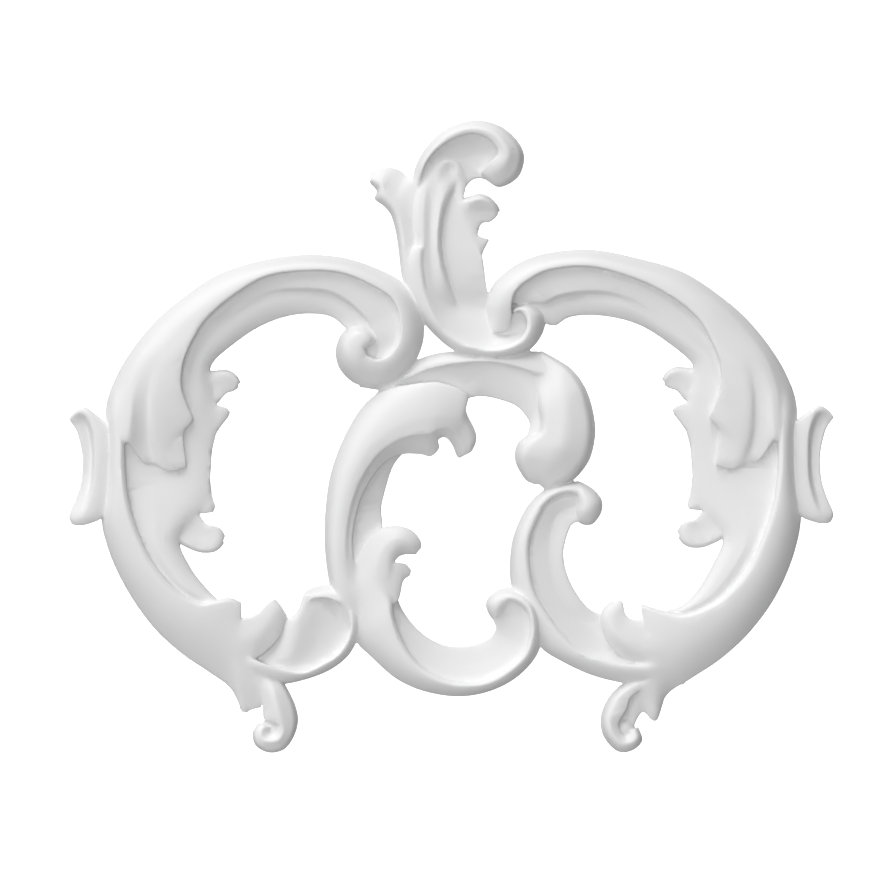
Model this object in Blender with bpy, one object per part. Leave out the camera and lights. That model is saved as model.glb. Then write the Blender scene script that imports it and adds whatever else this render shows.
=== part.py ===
"""Cast moulding onlay: an openwork rococo scroll with acanthus leaves, made to be fixed flat on a wall.

The ornament is drawn on a sheet whose x runs right and y runs down, in sheet units, and is carved to
heights above the wall, in millimetres. Each limb is a loft: ribs laid across it, one point on every
rail, with a profile between neighbouring rails. The limbs are fused into one casting and sawn flat.
The wall is the plane y = 0, the carving faces -Y, and the origin is the fixing point on the back.
"""

import bmesh
import bpy
import numpy as np

# Driving sizes, in metres.
WIDTH = 0.382
RELIEF = 0.022

# The drawing sheet: its span between the side clips, its full relief, the fixing point on it, and
# twice the x of the line the two rings mirror about.
SHEET_SPAN = 765.0
SHEET_RELIEF = 22.0
FIXING = (451.3, 372.0)
MIRROR_X = 902.6

# Profiles between two rails, as the slope at the start and at the end of the climb. A FLOW is a
# smooth curve through all the rails beside it.
ROUND = (2.6, 0.1)
SHOULDER = (1.3, 0.73)
FALL = (0.1, 2.6)
EASE = (0.0, 0.0)
LINE = (1.0, 1.0)
FLOW = (None, None)

# Longest facet along a limb in sheet units, and facets across each kind of profile.
PITCH = 31.0
PROFILE_STEPS = {ROUND: 2, SHOULDER: 1, FALL: 2, EASE: 1, LINE: 1, FLOW: 1}
BOSS_SIDES = 14
BOSS_RINGS = 3

# Heights shared by several limbs: an outer edge, a ring's crest, and how far limbs reach behind the wall.
EDGE = 5.0
CREST = 17.0
SUNK = -5.0

# Widths across a band and its channel: the bevel along the crest, how far the channel is tucked
# under the crest, its groove, and half its crease.
RIM = 3.0
TUCK = 3.0
GROOVE = 6.0
CREASE = 1.5


def place(x, y, height):
    """A point of the drawing sheet in metres."""
    unit = WIDTH / SHEET_SPAN
    return ((x - FIXING[0]) * unit, -height * RELIEF / SHEET_RELIEF, (FIXING[1] - y) * unit)


def flip(ribs, drop=0.0):
    """The same ribs on the other side of the ornament, moved down by drop."""
    return [[(MIRROR_X - x, y + drop) for x, y in rib] for rib in ribs]


def as_drawn(ribs, drop=0.0):
    """The ribs of the left side, where they were drawn."""
    return ribs


def split(ribs, shares):
    """Ribs of two points, cut into more rails at the given shares of their width."""
    rows = []
    for (x0, y0), (x1, y1) in ribs:
        rows.append([(x0 + (x1 - x0) * s, y0 + (y1 - y0) * s) for s in shares])
    return rows


def rimmed(ribs):
    """Rails of a band from ribs of edge and crest: the edge, the bevel's start, and the crest."""
    rows = []
    for edge, crest in np.asarray(ribs, float):
        outward = (edge - crest) / np.linalg.norm(edge - crest)
        rows.append([edge, crest + RIM * outward, crest])
    return rows


def channel(ribs):
    """Rails of a channel from ribs of crest, crease and lip: under the crest, past its groove, and
    on both sides of the crease."""
    rows = []
    for crest, crease, lip in np.asarray(ribs, float):
        inward = (crease - crest) / np.linalg.norm(crease - crest)
        onward = (lip - crease) / np.linalg.norm(lip - crease)
        rows.append([crest - TUCK * inward, crest + GROOVE * inward, crease - CREASE * inward,
                     crease + CREASE * onward, lip])
    return rows


def spread(levels, count):
    """Heights spaced evenly over the given number of ribs."""
    levels = np.atleast_1d(levels)
    return np.interp(np.arange(count), np.linspace(0, count - 1, len(levels)), levels)


def curve(before, first, second, after, share):
    """A point on the smooth curve from first to second, at a share of the way."""
    slope, bend = second - before, 2 * before - 5 * first + 4 * second - after
    twist = 3 * (first - second) + after - before
    return 0.5 * (2 * first + slope * share + bend * share**2 + twist * share**3)


def smooth_line(points, places):
    """A smooth curve through the points, read at the given places, where 1.5 is midway from point 1 to 2."""
    points = np.asarray(points, float)
    padded = np.vstack([2 * points[0] - points[1], points, 2 * points[-1] - points[-2]])
    index = np.minimum(places.astype(int), len(points) - 2)
    return curve(*(padded[index + k] for k in range(4)), (places - index)[:, None])


def rise(profile, share):
    """How far along its climb a profile is at a share of the way between two rails."""
    start, end = profile
    return (start + end - 2) * share**3 + (3 - 2 * start - end) * share**2 + start * share


def between(rails, profiles, k, share):
    """The points at a share of the way from rail k to the next one."""
    first, second = rails[k], rails[k + 1]
    if profiles[k] is FLOW:
        before = rails[k - 1] if k and profiles[k - 1] is FLOW else 2 * first - second
        after = rails[k + 2] if k + 2 < len(rails) and profiles[k + 1] is FLOW else 2 * second - first
        return curve(before, first, second, after, share)
    points = first + (second - first) * share
    points[:, 2] = first[:, 2] + (second - first)[:, 2] * rise(profiles[k], share)
    return points


def surface(ribs, heights, profiles):
    """Grid of (x, y, height) points over a loft: stations along it, profile steps across it."""
    count = len(ribs)
    lines = np.asarray(ribs, float)
    spans = np.linalg.norm(np.diff(lines, axis=0), axis=2).max(axis=1)
    places = [k + np.arange(n) / n for k, n in enumerate(np.ceil(spans / PITCH).astype(int))]
    places = np.append(np.concatenate(places), count - 1)
    rails = []
    for rail, levels in zip(zip(*ribs), heights):
        rails.append(smooth_line(np.column_stack([rail, spread(levels, count)]), places))
    columns = [rails[0]]
    for k, profile in enumerate(profiles):
        steps = PROFILE_STEPS[profile]
        columns += [between(rails, profiles, k, share) for share in np.arange(1, steps + 1) / steps]
    return np.stack(columns, axis=1)


def turns_right(outline):
    """Whether a closed outline on the sheet runs clockwise as it is seen from the front."""
    following = np.roll(outline, -1, axis=0)
    return np.sum(outline[:, 0] * following[:, 1] - outline[:, 1] * following[:, 0]) > 0


class Casting:
    """All the limbs of the ornament, as closed solids in one mesh."""

    def __init__(self):
        self.mesh = bmesh.new()
        self.limbs = 0

    def sink(self):
        """How far behind the wall the next limb reaches; no two are level, so their ends never meet."""
        self.limbs += 1
        return SUNK - 0.02 * self.limbs

    def points(self, rows, height=None):
        new = self.mesh.verts.new
        return [[new(place(p[0], p[1], p[2] if height is None else height)) for p in row] for row in rows]

    def loft(self, ribs, heights, profiles):
        """One limb: its carved face over the ribs, with walls down to behind the wall plane."""
        grid = surface(ribs, heights, profiles)
        border = np.vstack([grid[0], grid[:, -1], grid[-1, ::-1], grid[::-1, 0]])
        if turns_right(border):
            grid = grid[::-1]
        top = self.points(grid)
        low = self.points(grid, self.sink())
        new = self.mesh.faces.new
        for i in range(len(top) - 1):
            for j in range(len(top[0]) - 1):
                new((top[i][j], top[i][j + 1], top[i + 1][j + 1], top[i + 1][j]))
                new((low[i][j], low[i + 1][j], low[i + 1][j + 1], low[i][j + 1]))
            new((top[i][0], top[i + 1][0], low[i + 1][0], low[i][0]))
            new((top[i][-1], low[i][-1], low[i + 1][-1], top[i + 1][-1]))
        for j in range(len(top[0]) - 1):
            new((top[0][j], low[0][j], low[0][j + 1], top[0][j + 1]))
            new((top[-1][j], top[-1][j + 1], low[-1][j + 1], low[-1][j]))

    def boss(self, outline, centre, edge, top):
        """A rounded boss over a closed outline, with its summit over centre."""
        corners = np.asarray(outline, float)
        looped = np.vstack([corners, corners[:1]])
        ends = np.vstack([corners[-1:], looped, corners[1:2]])
        places = 1 + np.arange(BOSS_SIDES) * len(corners) / BOSS_SIDES
        rim = smooth_line(ends, places)
        if not turns_right(rim):
            rim = rim[::-1]
        loops = self.points([rim], self.sink())
        summit = np.asarray(centre, float)
        for k in range(BOSS_RINGS):
            angle = 0.5 * np.pi * k / BOSS_RINGS
            ring = summit + (rim - summit) * np.cos(angle)
            loops += self.points([ring], edge + (top - edge) * np.sin(angle))
        floor, apex = self.points([[summit]], SUNK)[0][0], self.points([[summit]], top)[0][0]
        floor.co.y = loops[0][0].co.y
        new = self.mesh.faces.new
        for k in range(BOSS_SIDES):
            m = (k + 1) % BOSS_SIDES
            for lower, upper in zip(loops, loops[1:]):
                new((lower[k], upper[k], upper[m], lower[m]))
            new((loops[-1][k], apex, loops[-1][m]))
            new((loops[0][k], loops[0][m], floor))


# Side rings

LEFT_TOP = [
    [(360, 387), (367, 356)], [(384, 389), (377, 360)], [(405, 376), (389, 356)], [(419, 354), (398, 344)],
    [(424, 330), (401, 328)], [(418, 300), (396, 305)], [(396, 278), (382, 291)], [(352, 260), (345, 274)],
    [(308, 255), (307, 271)], [(262, 261), (266, 277)], [(218, 275), (232, 297)],
]
RIGHT_TOP = [
    [(491, 334), (508, 330)], [(488, 318), (511, 318)], [(487, 303), (511, 305)], [(494, 284), (515, 292)],
    [(516, 265), (527, 281)], [(545, 254), (550, 270)], [(590, 250), (590, 267)], [(639, 259), (635, 279)],
    [(684, 273), (671, 297)],
]
LEFT_TOP_FADE = (1.0,)
RIGHT_TOP_FADE = (0.35, 0.7, 0.9, 1.0, 1.0, 1.0, 1.0, 1.0, 1.0)
TOP_SHARES = (0.0, 0.28, 0.46, 0.62, 0.75, 0.87, 1.0)
RING_LEAF = [
    [(178, 302), (184, 307), (189, 311), (194, 313), (198, 315), (202, 317), (207, 319)],
    [(150, 328), (160, 332), (167, 335), (174, 337), (181, 338), (187, 339), (194, 339)],
    [(126, 360), (138, 361), (145, 361), (151, 362), (157, 364), (165, 364), (184, 362)],
    [(111, 390), (127, 392), (134, 392), (141, 393), (149, 392), (156, 393), (182, 387)],
    [(106, 412), (124, 415), (132, 415), (139, 417), (148, 418), (156, 418), (188, 406)],
    [(107, 430), (123, 430), (131, 432), (139, 436), (149, 437), (158, 437), (193, 420)],
    [(107, 440), (124, 440), (130, 441), (140, 451), (152, 452), (163, 456), (184, 434)],
    [(107, 444), (125, 443), (131, 444), (144, 462), (155, 464), (170, 471), (187, 467)],
]
RING_LEAF_HEIGHTS = [
    (EDGE, EDGE, EDGE, EDGE, 4, 3, 3, 3),
    (12.0, 12.6, 13.6, 14.6, 15.0, 15.0, 14.8, 14.5),
    (14.6, 14.8, 15.2, 15.8, 16.0, 15.8, 15.0, 13.5),
    (16.0, 16.0, 16.0, 15.4, 14.2, 12.8, 12.0, 11.4),
    (16.6, 16.5, 16.2, 15.0, 13.2, 11.6, 10.8, 10.4),
    (16.9, 16.9, 16.8, 16.3, 15.4, 14.2, 12.6, 11.4),
    (CREST, CREST, CREST, 16.0, 14.8, 13.6, 12.6, 11.2),
]
RING_FOOT_BAND = [
    [(156, 335), (168, 345)], [(122, 371), (140, 382)], [(107, 405), (126, 412)], [(107, 440), (125, 443)],
    [(106, 480), (126, 477)], [(102, 519), (131, 508)],
]
LEFT_FOOT_BAND = [
    [(111, 555), (142, 540)], [(129, 592), (157, 567)], [(154, 627), (179, 591)], [(182, 653), (200, 602)],
    [(210, 672), (216, 600)], [(231, 688), (230, 598)], [(243, 712), (241, 602)],
]
RIGHT_FOOT_BAND = [
    [(792, 558), (760, 541)], [(774, 598), (746, 570)], [(749, 632), (723, 596)], [(721, 658), (702, 608)],
    [(691, 678), (683, 614)], [(667, 694), (664, 611)], [(655, 720), (641, 604)],
]
RING_FOOT_HEIGHTS = [
    (4, 4.5, 4, 3, 3, 4, EDGE, EDGE, EDGE, EDGE, EDGE, EDGE, EDGE), (10, 14, 15.5, 16, 16, 15.5, 15, 13),
    (8.5, 12.5, 14, 14.5, 14.5, 14, 13.5, 11.5),
]

# Channels under the crests, as ribs of crest, crease and lip.
LEFT_CHANNEL_TOP = [
    [(382, 363), (372, 362), (360, 361)], [(397, 349), (377, 351), (362, 350)],
    [(401, 331), (377, 338), (362, 342)], [(398, 312), (370, 324), (353, 334)],
    [(388, 296), (359, 312), (346, 328)], [(366, 282), (343, 299), (334, 318)],
    [(340, 273), (326, 292), (320, 314)], [(307, 271), (303, 290), (299, 314)],
    [(266, 277), (271, 293), (277, 319)], [(232, 297), (243, 309), (255, 329)],
    [(207, 319), (218, 330), (232, 345)],
]
RIGHT_CHANNEL_TOP = [
    [(512, 303), (525, 306), (538, 312)], [(515, 293), (531, 303), (546, 323)],
    [(527, 282), (545, 303), (556, 325)], [(551, 270), (559, 297), (567, 318)],
    [(584, 267), (583, 293), (583, 315)], [(616, 273), (609, 294), (606, 316)],
    [(648, 285), (638, 304), (632, 322)], [(680, 307), (666, 325), (656, 334)],
]
RING_CHANNEL = [
    [(190, 345), (201, 352), (214, 361)], [(180, 375), (192, 375), (210, 374)],
    [(168, 405), (190, 402), (214, 399)], [(137, 432), (172, 430), (217, 426)],
    [(126, 455), (165, 453), (212, 451)], [(127, 480), (165, 479), (210, 478)],
    [(131, 508), (160, 506), (205, 505)], [(142, 540), (158, 540), (180, 538)],
    [(157, 567), (170, 567), (190, 567)],
]
LEFT_CHANNEL_END = [[(179, 591), (190, 590), (206, 588)], [(202, 602), (209, 601), (217, 599)]]
RIGHT_CHANNEL_END = [
    [(724, 596), (712, 592), (697, 591)], [(702, 608), (692, 607), (681, 606)],
    [(684, 614), (676, 613), (667, 611)],
]
TOP_CHANNEL_HEIGHTS = [
    (13, 15, 15.5, 15.5, 15.5, 15), (9.5, 12.6, 13, 13, 12.8, 12.4), (9, 12.4, 12.8, 12.8, 12, 11.2),
    (8.5, 10, 10, 10, 11, 11), (7, 7.5, 7.5, 7.5, 7.5, 7.5),
]
RING_CHANNEL_HEIGHTS = [
    (15, 14, 12, 9, 10.5, 11.5, 12, 12.5, 12.5, 12.5, 12),
    (12.2, 11.8, 11, 9, 10.4, 11, 11.4, 11.8, 12, 12, 11.5),
    (11, 10.6, 10, 8.8, 8.8, 8.6, 8.8, 9.6, 10.4, 10.8, 10.4),
    (10.8, 10.4, 9.8, 8.7, 8.6, 8.4, 8.5, 9.3, 10.1, 10.5, 10.2),
    (7.5, 7.5, 7.5, 7.5, 7.5, 7.5, 7.5, 7.5, 7.5, 7.5, 8.5),
]
CHANNEL_PROFILES = (LINE, LINE, LINE, FALL)


def ring(casting, top, fade, foot_band, channel_top, channel_end, turn):
    """One side ring: its upper band and leaf, the lower band, and the sloping channel inside them."""
    levels = []
    for share, heights in zip(TOP_SHARES, RING_LEAF_HEIGHTS):
        climb = (CREST - EDGE) * rise(ROUND, share)
        levels.append([*(EDGE + climb * spread(fade, len(top))), *heights])
    casting.loft(split(top, TOP_SHARES) + turn(RING_LEAF, -2), levels,
                 (SHOULDER, FLOW, FLOW, FLOW, FLOW, FLOW))
    casting.loft(rimmed(turn(RING_FOOT_BAND, -1) + foot_band), RING_FOOT_HEIGHTS, (ROUND, LINE))
    levels = []
    for top_heights, heights in zip(TOP_CHANNEL_HEIGHTS, RING_CHANNEL_HEIGHTS):
        rest = spread(heights, len(RING_CHANNEL + channel_end))
        levels.append([*spread(top_heights, len(channel_top)), *rest])
    casting.loft(channel(channel_top + turn(RING_CHANNEL, -2) + channel_end), levels, CHANNEL_PROFILES)


def palmette(casting, turn):
    """The low lobes and teeth that stand on the inner lip of a ring."""
    upper = [
        [(192, 374), (194, 380), (198, 392), (200, 408)], [(214, 371), (214, 376), (215, 387), (216, 404)],
        [(227, 370), (226, 375), (225, 384), (225, 394)], [(236, 375), (234, 378), (233, 383), (233, 391)],
        [(241, 383), (239, 383), (238, 385), (238, 388)],
    ]
    casting.loft(turn(upper, -3), (5.5, (7, 8, 8.2, 8, 7.5), (7, 7.3, 7.4, 7.2, 7), (6.5, 7, 7, 6.5, 6)),
                 (ROUND, FLOW, FLOW))
    tooth = [
        [(198, 400), (198, 462)], [(214, 404), (210, 458)], [(219, 406), (214, 438)],
        [(226, 408), (221, 426)],
        [(230, 412), (228, 417)],
    ]
    casting.loft(turn(tooth, -2), ((7, 7.9, 7.8, 7.4, 7), (7, 7.5, 7.4, 6.8, 6)), (LINE,))
    corner = [
        [(184, 468), (209, 470)], [(184, 495), (212, 495)], [(190, 506), (215, 506)],
        [(194, 514), (213, 512)],
    ]
    casting.loft(turn(corner, -3), (7.5, 7.0), (LINE,))
    lower = [
        [(172, 490), (166, 510), (160, 522), (156, 530)], [(188, 505), (180, 521), (174, 532), (172, 538)],
        [(199, 515), (193, 529), (187, 541), (185, 546)], [(206, 524), (203, 534), (200, 547), (200, 552)],
        [(214, 526), (212, 535), (212, 547), (213, 552)], [(221, 529), (219, 536), (219, 544), (220, 548)],
        [(225, 536), (224, 538), (223, 541), (224, 543)],
    ]
    casting.loft(turn(lower, -5),
                 ((6, 7.2, 8, 8, 8, 7.5, 6.5), (6.5, 7.4, 7.2, 7.2, 7.6, 7.8, 7),
                  (7, 8.2, 8.8, 9.2, 9.2, 8.6, 7), 5.0),
                 (FLOW, FLOW, FALL))


def clip(casting, turn):
    """The bracket-shaped clip on the outside of a ring: a shallow recess inside a rim."""
    ribs = [
        [(73, 414), (77, 412), (81, 409), (87, 408)], [(70, 420), (78, 419), (86, 413), (98, 415)],
        [(77, 430), (84, 428), (92, 424), (109, 428)], [(83, 456), (90, 456), (97, 455), (109, 456)],
        [(82, 480), (90, 481), (97, 481), (109, 481)], [(76, 500), (84, 500), (93, 502), (107, 505)],
        [(70, 516), (77, 517), (84, 520), (100, 519)], [(73, 523), (77, 524), (81, 525), (89, 522)],
    ]
    levels = ((6, 5.5, 5.5, 6, 6, 5.5, 5.5, 6), (8, 5.5, 4.2, 4, 4, 4.2, 5.5, 8),
              (8.5, 9, 9.5, 9.8, 9.8, 9.5, 9, 8.5),
              (6, 5, 3.5, 2.5, 2.5, 3.5, 5, 6))
    casting.loft(turn(ribs, -2), levels, (LINE, EASE, EASE))


def left_volute(casting):
    """The ball that the left ring rolls up into."""
    outline = [(343, 334), (336, 350), (338, 367), (350, 381), (368, 388), (384, 387), (380, 373), (370, 363),
               (366, 355), (367, 348), (373, 342), (376, 336), (369, 329), (355, 325)]
    casting.boss(outline, (354, 352), EDGE, 18.0)
    casting.boss([(364, 346), (377, 339), (392, 344), (390, 355), (373, 358)], (378, 350), EDGE, 9.5)


def left_foot(casting):
    """The lower left leaf tip, the shell scoop and the scroll foot under them."""
    leaf = [
        [(200, 618), (204, 640), (208, 660)], [(222, 618), (226, 642), (230, 664)],
        [(240, 619), (246, 640), (251, 658)], [(257, 614), (262, 632), (262, 654)],
        [(268, 603), (273, 618), (279, 637)], [(275, 599), (281, 606), (287, 616)],
    ]
    casting.loft(leaf,
                 ((8, 12, 12.6, 12.4, 11.6, 11), (8, 11.5, 12.8, 12.8, 12.2, 11.2),
                  (7, 10, 10.8, 10.2, 10, 9.5)), (FLOW, FLOW))
    rim = [
        [(296, 622), (301, 624)], [(300, 606), (308, 604)], [(308, 590), (316, 598)],
        [(330, 585), (330, 598)],
        [(348, 593), (341, 604)], [(360, 608), (350, 615)], [(360, 630), (350, 634)],
        [(350, 653), (339, 653)],
        [(331, 669), (322, 664)], [(306, 679), (303, 672)], [(280, 684), (282, 668)],
        [(261, 682), (264, 663)],
        [(246, 674), (250, 657)], [(236, 668), (241, 652)],
    ]
    casting.loft(rim, (EDGE, (8, 11, 12, 13, 13, 13, 13, 13, 13, 13, 13, 12.5, 11.5, 8)), (ROUND,))
    shell = [
        [(303, 597), (308, 594), (325, 591), (350, 600)], [(297, 612), (303, 611), (325, 611), (354, 621)],
        [(285, 621), (297, 626), (322, 632), (353, 643)], [(278, 634), (293, 644), (314, 652), (338, 661)],
        [(264, 648), (283, 658), (294, 664), (307, 676)], [(247, 652), (257, 659), (263, 664), (270, 672)],
    ]
    casting.loft(shell,
                 ((10, 9, 8.5, 7, 5.5, 5), (10.5, 10.6, 10.6, 10, 8.5, 5.5), (10, 8.8, 7.4, 6.4, 7.8, 6.5),
                         (9.5, 7.6, 6, 5.4, 7.5, 7)), (FLOW, FLOW, FLOW))
    stem = [
        [(281, 678), (275, 676), (265, 674), (254, 672)], [(288, 690), (283, 690), (272, 689), (261, 690)],
        [(295, 705), (289, 705), (276, 704), (263, 706)], [(298, 720), (291, 720), (279, 718), (265, 719)],
        [(294, 736), (289, 733), (283, 729), (276, 723)], [(284, 749), (281, 744), (279, 738), (275, 731)],
        [(269, 752), (270, 746), (271, 740), (272, 734)], [(256, 745), (260, 742), (264, 738), (270, 733)],
        [(253, 733), (257, 732), (262, 731), (269, 730)], [(258, 723), (261, 724), (265, 725), (271, 727)],
    ]
    casting.loft(stem,
                 (EDGE, (8, 10, 10.5, 10.5, 10.5, 10.5, 10.5, 10.5, 10, 9),
                  (9, 12, 12.6, 12.4, 12, 12, 12, 11.5, 11, 10),
                        (9, 8.4, 7.6, 8, 9.5, 8.5, 8, 8, 8, 9)), (ROUND, FLOW, FLOW))
    heel = [
        [(240, 708), (240, 680), (240, 640)], [(246, 712), (245, 680), (244, 642)],
        [(252, 709), (251, 681), (249, 648)], [(261, 707), (261, 684), (258, 660)],
    ]
    casting.loft(heel, ((4.5, 5, 5, 5), (9, 9.3, 9.2, 8.8), (11.4, 11.8, 11.2, 9)), (FLOW, FLOW))
    casting.boss([(264, 721), (281, 721), (287, 731), (278, 741), (265, 737)], (276, 729), 3.5, 8.0)


def right_foot(casting):
    """The hooked lower right leaf tip and the scroll foot under it."""
    hook = [
        [(690, 622), (690, 642), (690, 668)], [(664, 620), (664, 643), (664, 668)],
        [(642, 620), (643, 645), (644, 664)], [(631, 619), (627, 640), (622, 656)],
        [(625, 614), (615, 631), (609, 643)], [(623, 607), (611, 618), (601, 624)],
        [(622, 602), (610, 609), (602, 611)], [(620, 600), (615, 602), (610, 602)],
    ]
    casting.loft(hook,
                 ((8, 13, 12.6, 12.2, 11.8, 11.5, 11, 10.5), (8, 12.5, 12.2, 12.6, 12.6, 12.4, 11.8, 10.5),
                  (7, 9, 10, 9, 8.5, 8.5, 8.8, 9)),
                 (FLOW, FALL))
    stem = [
        [(650, 672), (656, 677), (664, 680)], [(624, 683), (634, 686), (644, 688)],
        [(610, 696), (619, 697), (630, 697)], [(602, 712), (612, 711), (626, 708)],
        [(601, 727), (609, 722), (619, 720)], [(606, 740), (612, 732), (618, 726)],
        [(618, 751), (620, 742), (622, 734)], [(632, 750), (629, 742), (626, 736)],
        [(642, 740), (635, 737), (629, 733)], [(638, 727), (633, 729), (628, 729)],
    ]
    casting.loft(stem,
                 (4.5, (8, 10.5, 11.5, 12, 12, 12, 11.5, 11, 10.5, 9),
                  (7, 9.5, 10.5, 11, 10.5, 10, 9.5, 9, 8.5, 8)), (ROUND, FLOW))
    plate = [
        [(624, 688), (622, 732)], [(631, 686), (632, 730)], [(636, 684), (635, 722)],
        [(641, 682), (641, 712)],
        [(646, 680), (646, 713)], [(651, 678), (651, 719)], [(657, 676), (657, 719)],
        [(670, 672), (663, 702)],
    ]
    casting.loft(plate, ((7, 8, 9, 10, 10.5, 10.5, 10.5, 8), (6, 6, 6, 6, 6, 6, 5.5, 4)), (LINE,))
    casting.boss([(612, 721), (628, 718), (635, 730), (627, 741), (613, 736)], (625, 727), 3.5, 8.5)


def crest(casting):
    """The plume that crowns the ornament, the bowl under it, and the small volute at its right."""
    head = [
        [(408, 204), (420, 206)], [(411, 186), (421, 191)], [(416, 166), (423, 171)],
        [(427, 147), (433, 154)], [(447, 129), (451, 140)],
        [(474, 121), (471, 134)], [(499, 126), (487, 138)], [(517, 141), (496, 147)],
        [(524, 158), (498, 155)],
        [(518, 177), (491, 163)], [(500, 187), (485, 169)], [(486, 180), (481, 174)],
    ]
    casting.loft(split(head, (0, 0.3, 0.62, 1)), (
        EDGE, (6, 7.5, 9.5, 10, 11, 12, 13.5, 14.2, 14.2, 13.5, 12, 9),
        (6, 9, 12, 13, 13.5, 14.5, 16, 17, 17, 16, 13.5, 10),
        (5, 8, 12.5, 13.5, 13.5, 14, 15, 15.5, 15.5, 15, 13, 10)), (ROUND, FLOW, FLOW))
    hollow = [
        [(416, 200), (440, 208), (463, 205)], [(418, 186), (442, 192), (463, 195)],
        [(423, 166), (445, 175), (465, 188)], [(433, 150), (452, 164), (472, 180)],
        [(450, 136), (464, 158), (480, 178)], [(471, 131), (477, 155), (484, 179)],
        [(490, 134), (489, 156), (488, 178)], [(503, 149), (496, 160), (490, 174)],
    ]
    casting.loft(hollow,
                 ((9, 9, 10.5, 11, 12, 12, 12, 12), (8, 9, 8.8, 8.2, 8, 8, 8, 9), (6, 7, 7, 7, 6.5, 6, 6, 6)),
                 (LINE, FLOW))
    stem = [
        [(422, 172), (428, 168), (434, 168), (446, 166), (458, 168), (466, 184)],
        [(416, 184), (425, 181), (432, 180), (445, 179), (460, 178), (466, 189)],
        [(414, 197), (425, 194), (432, 192), (446, 190), (457, 190), (463, 197)],
        [(412, 213), (424, 211), (432, 209), (441, 207), (449, 207), (463, 208)],
        [(412, 234), (424, 233), (431, 232), (437, 232), (442, 232), (474, 232)],
        [(414, 257), (424, 256), (432, 256), (438, 256), (443, 257), (482, 257)],
        [(419, 284), (427, 283), (434, 282), (442, 281), (450, 283), (486, 285)],
        [(426, 306), (434, 304), (441, 303), (447, 302), (455, 303), (491, 304)],
        [(438, 328), (446, 325), (452, 323), (457, 321), (462, 318), (498, 319)],
    ]
    casting.loft(stem, ((6, 8, 9, 9, 9, 8, 7.5, 7.5, 7), (7, 8.5, 10, 11.8, 12.6, 12, 11.5, 10.5, 8),
                        (6, 7.5, 9, 10.6, 11.4, 11, 10.6, 9, 5), (6, 7.8, 10, 12, 12.6, 12.4, 11.6, 8, 4.5),
                        (5.5, 6, 6.8, 6.4, 6, 6, 5.6, 5, 4), (6, 7, 8.5, 9.4, 9.8, 9.8, 9.4, 8, 5)),
                 (ROUND, FLOW, FLOW, FALL, FLOW))
    casting.boss([(437, 183), (444, 179), (452, 183), (453, 190), (446, 196), (438, 191)],
                 (445, 187), 6.0, 12.0)
    lobe = [
        [(446, 208), (448, 214), (450, 228), (450, 250)], [(463, 199), (463, 205), (466, 222), (470, 246)],
        [(472, 196), (472, 202), (474, 214), (476, 238)], [(480, 194), (480, 200), (480, 211), (481, 224)],
        [(489, 197), (488, 203), (487, 211), (489, 222)], [(497, 205), (495, 208), (494, 212), (495, 218)],
        [(500, 211), (498, 211), (498, 212), (498, 214)],
    ]
    casting.loft(lobe,
                 ((6, 7, 5, 5, 5, 5, 5), (7, 10, 11, 10.8, 10, 8.5, 6), (7, 9, 8.8, 8.2, 7.5, 7, 6),
                  (7, 9.2, 9, 8, 7.2, 6.5, 6)),
                 (ROUND, FLOW, FLOW))
    tooth = [[(450, 244), (450, 268)], [(474, 236), (475, 264)], [(482, 238), (481, 258)],
             [(489, 240), (483, 251)]]
    casting.loft(tooth, ((5, 9, 9, 8), (5, 9, 8.5, 7.5)), (LINE,))
    plume = [
        [(371, 173), (371, 179), (370, 183)], [(386, 168), (382, 184), (377, 191)],
        [(398, 170), (385, 193), (375, 199)], [(406, 176), (390, 201), (384, 206)],
        [(415, 182), (398, 212), (391, 215)], [(421, 205), (403, 230), (396, 232)],
        [(425, 235), (406, 252), (399, 253)], [(426, 258), (410, 274), (402, 277)],
        [(428, 276), (416, 292), (408, 292)],
    ]
    casting.loft(plume, ((5.5, 5.5, 5.5, 6, 8, 9, 9, 8, 7), (8, 10, 10.5, 10.8, 11, 11, 11, 10, 8), 4.5),
                 (FLOW, FALL))
    strap = [
        [(408, 247), (424, 248)], [(401, 266), (423, 264)], [(406, 288), (427, 291)],
        [(416, 312), (437, 316)],
        [(435, 335), (450, 332)], [(457, 352), (468, 343)], [(484, 360), (488, 348)],
        [(508, 358), (506, 346)],
        [(529, 350), (521, 338)], [(542, 334), (527, 326)], [(545, 315), (525, 316)],
        [(532, 304), (519, 311)],
        [(515, 306), (513, 314)],
    ]
    casting.loft(rimmed(strap), (EDGE, (13.5, 13.5, 13, 13, 13, 14, 14, 15, 16, 17, 17, 16, 14),
                                 (12.5, 12.5, 12, 12, 12, 12.5, 12.5, 13.5, 14.5, 15.5, 15.5, 14.5, 13)),
                                 (ROUND, LINE))
    bowl = [
        [(424, 288), (455, 298), (492, 296)], [(434, 316), (462, 316), (497, 304)],
        [(449, 334), (471, 328), (502, 308)], [(467, 346), (482, 336), (507, 308)],
        [(488, 350), (497, 340), (512, 309)], [(509, 349), (513, 334), (519, 309)],
        [(527, 341), (527, 329), (530, 316)],
    ]
    casting.loft(bowl, (10.5, (4.4, 4.4, 4.4, 4.5, 4.6, 5.5, 7), (5, 6, 6.5, 6.5, 7, 8, 9)), (FLOW, FLOW))
    casting.boss([(504, 300), (528, 297), (542, 312), (533, 332), (508, 334)], (522, 315), 3.0, 6.0)


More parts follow.
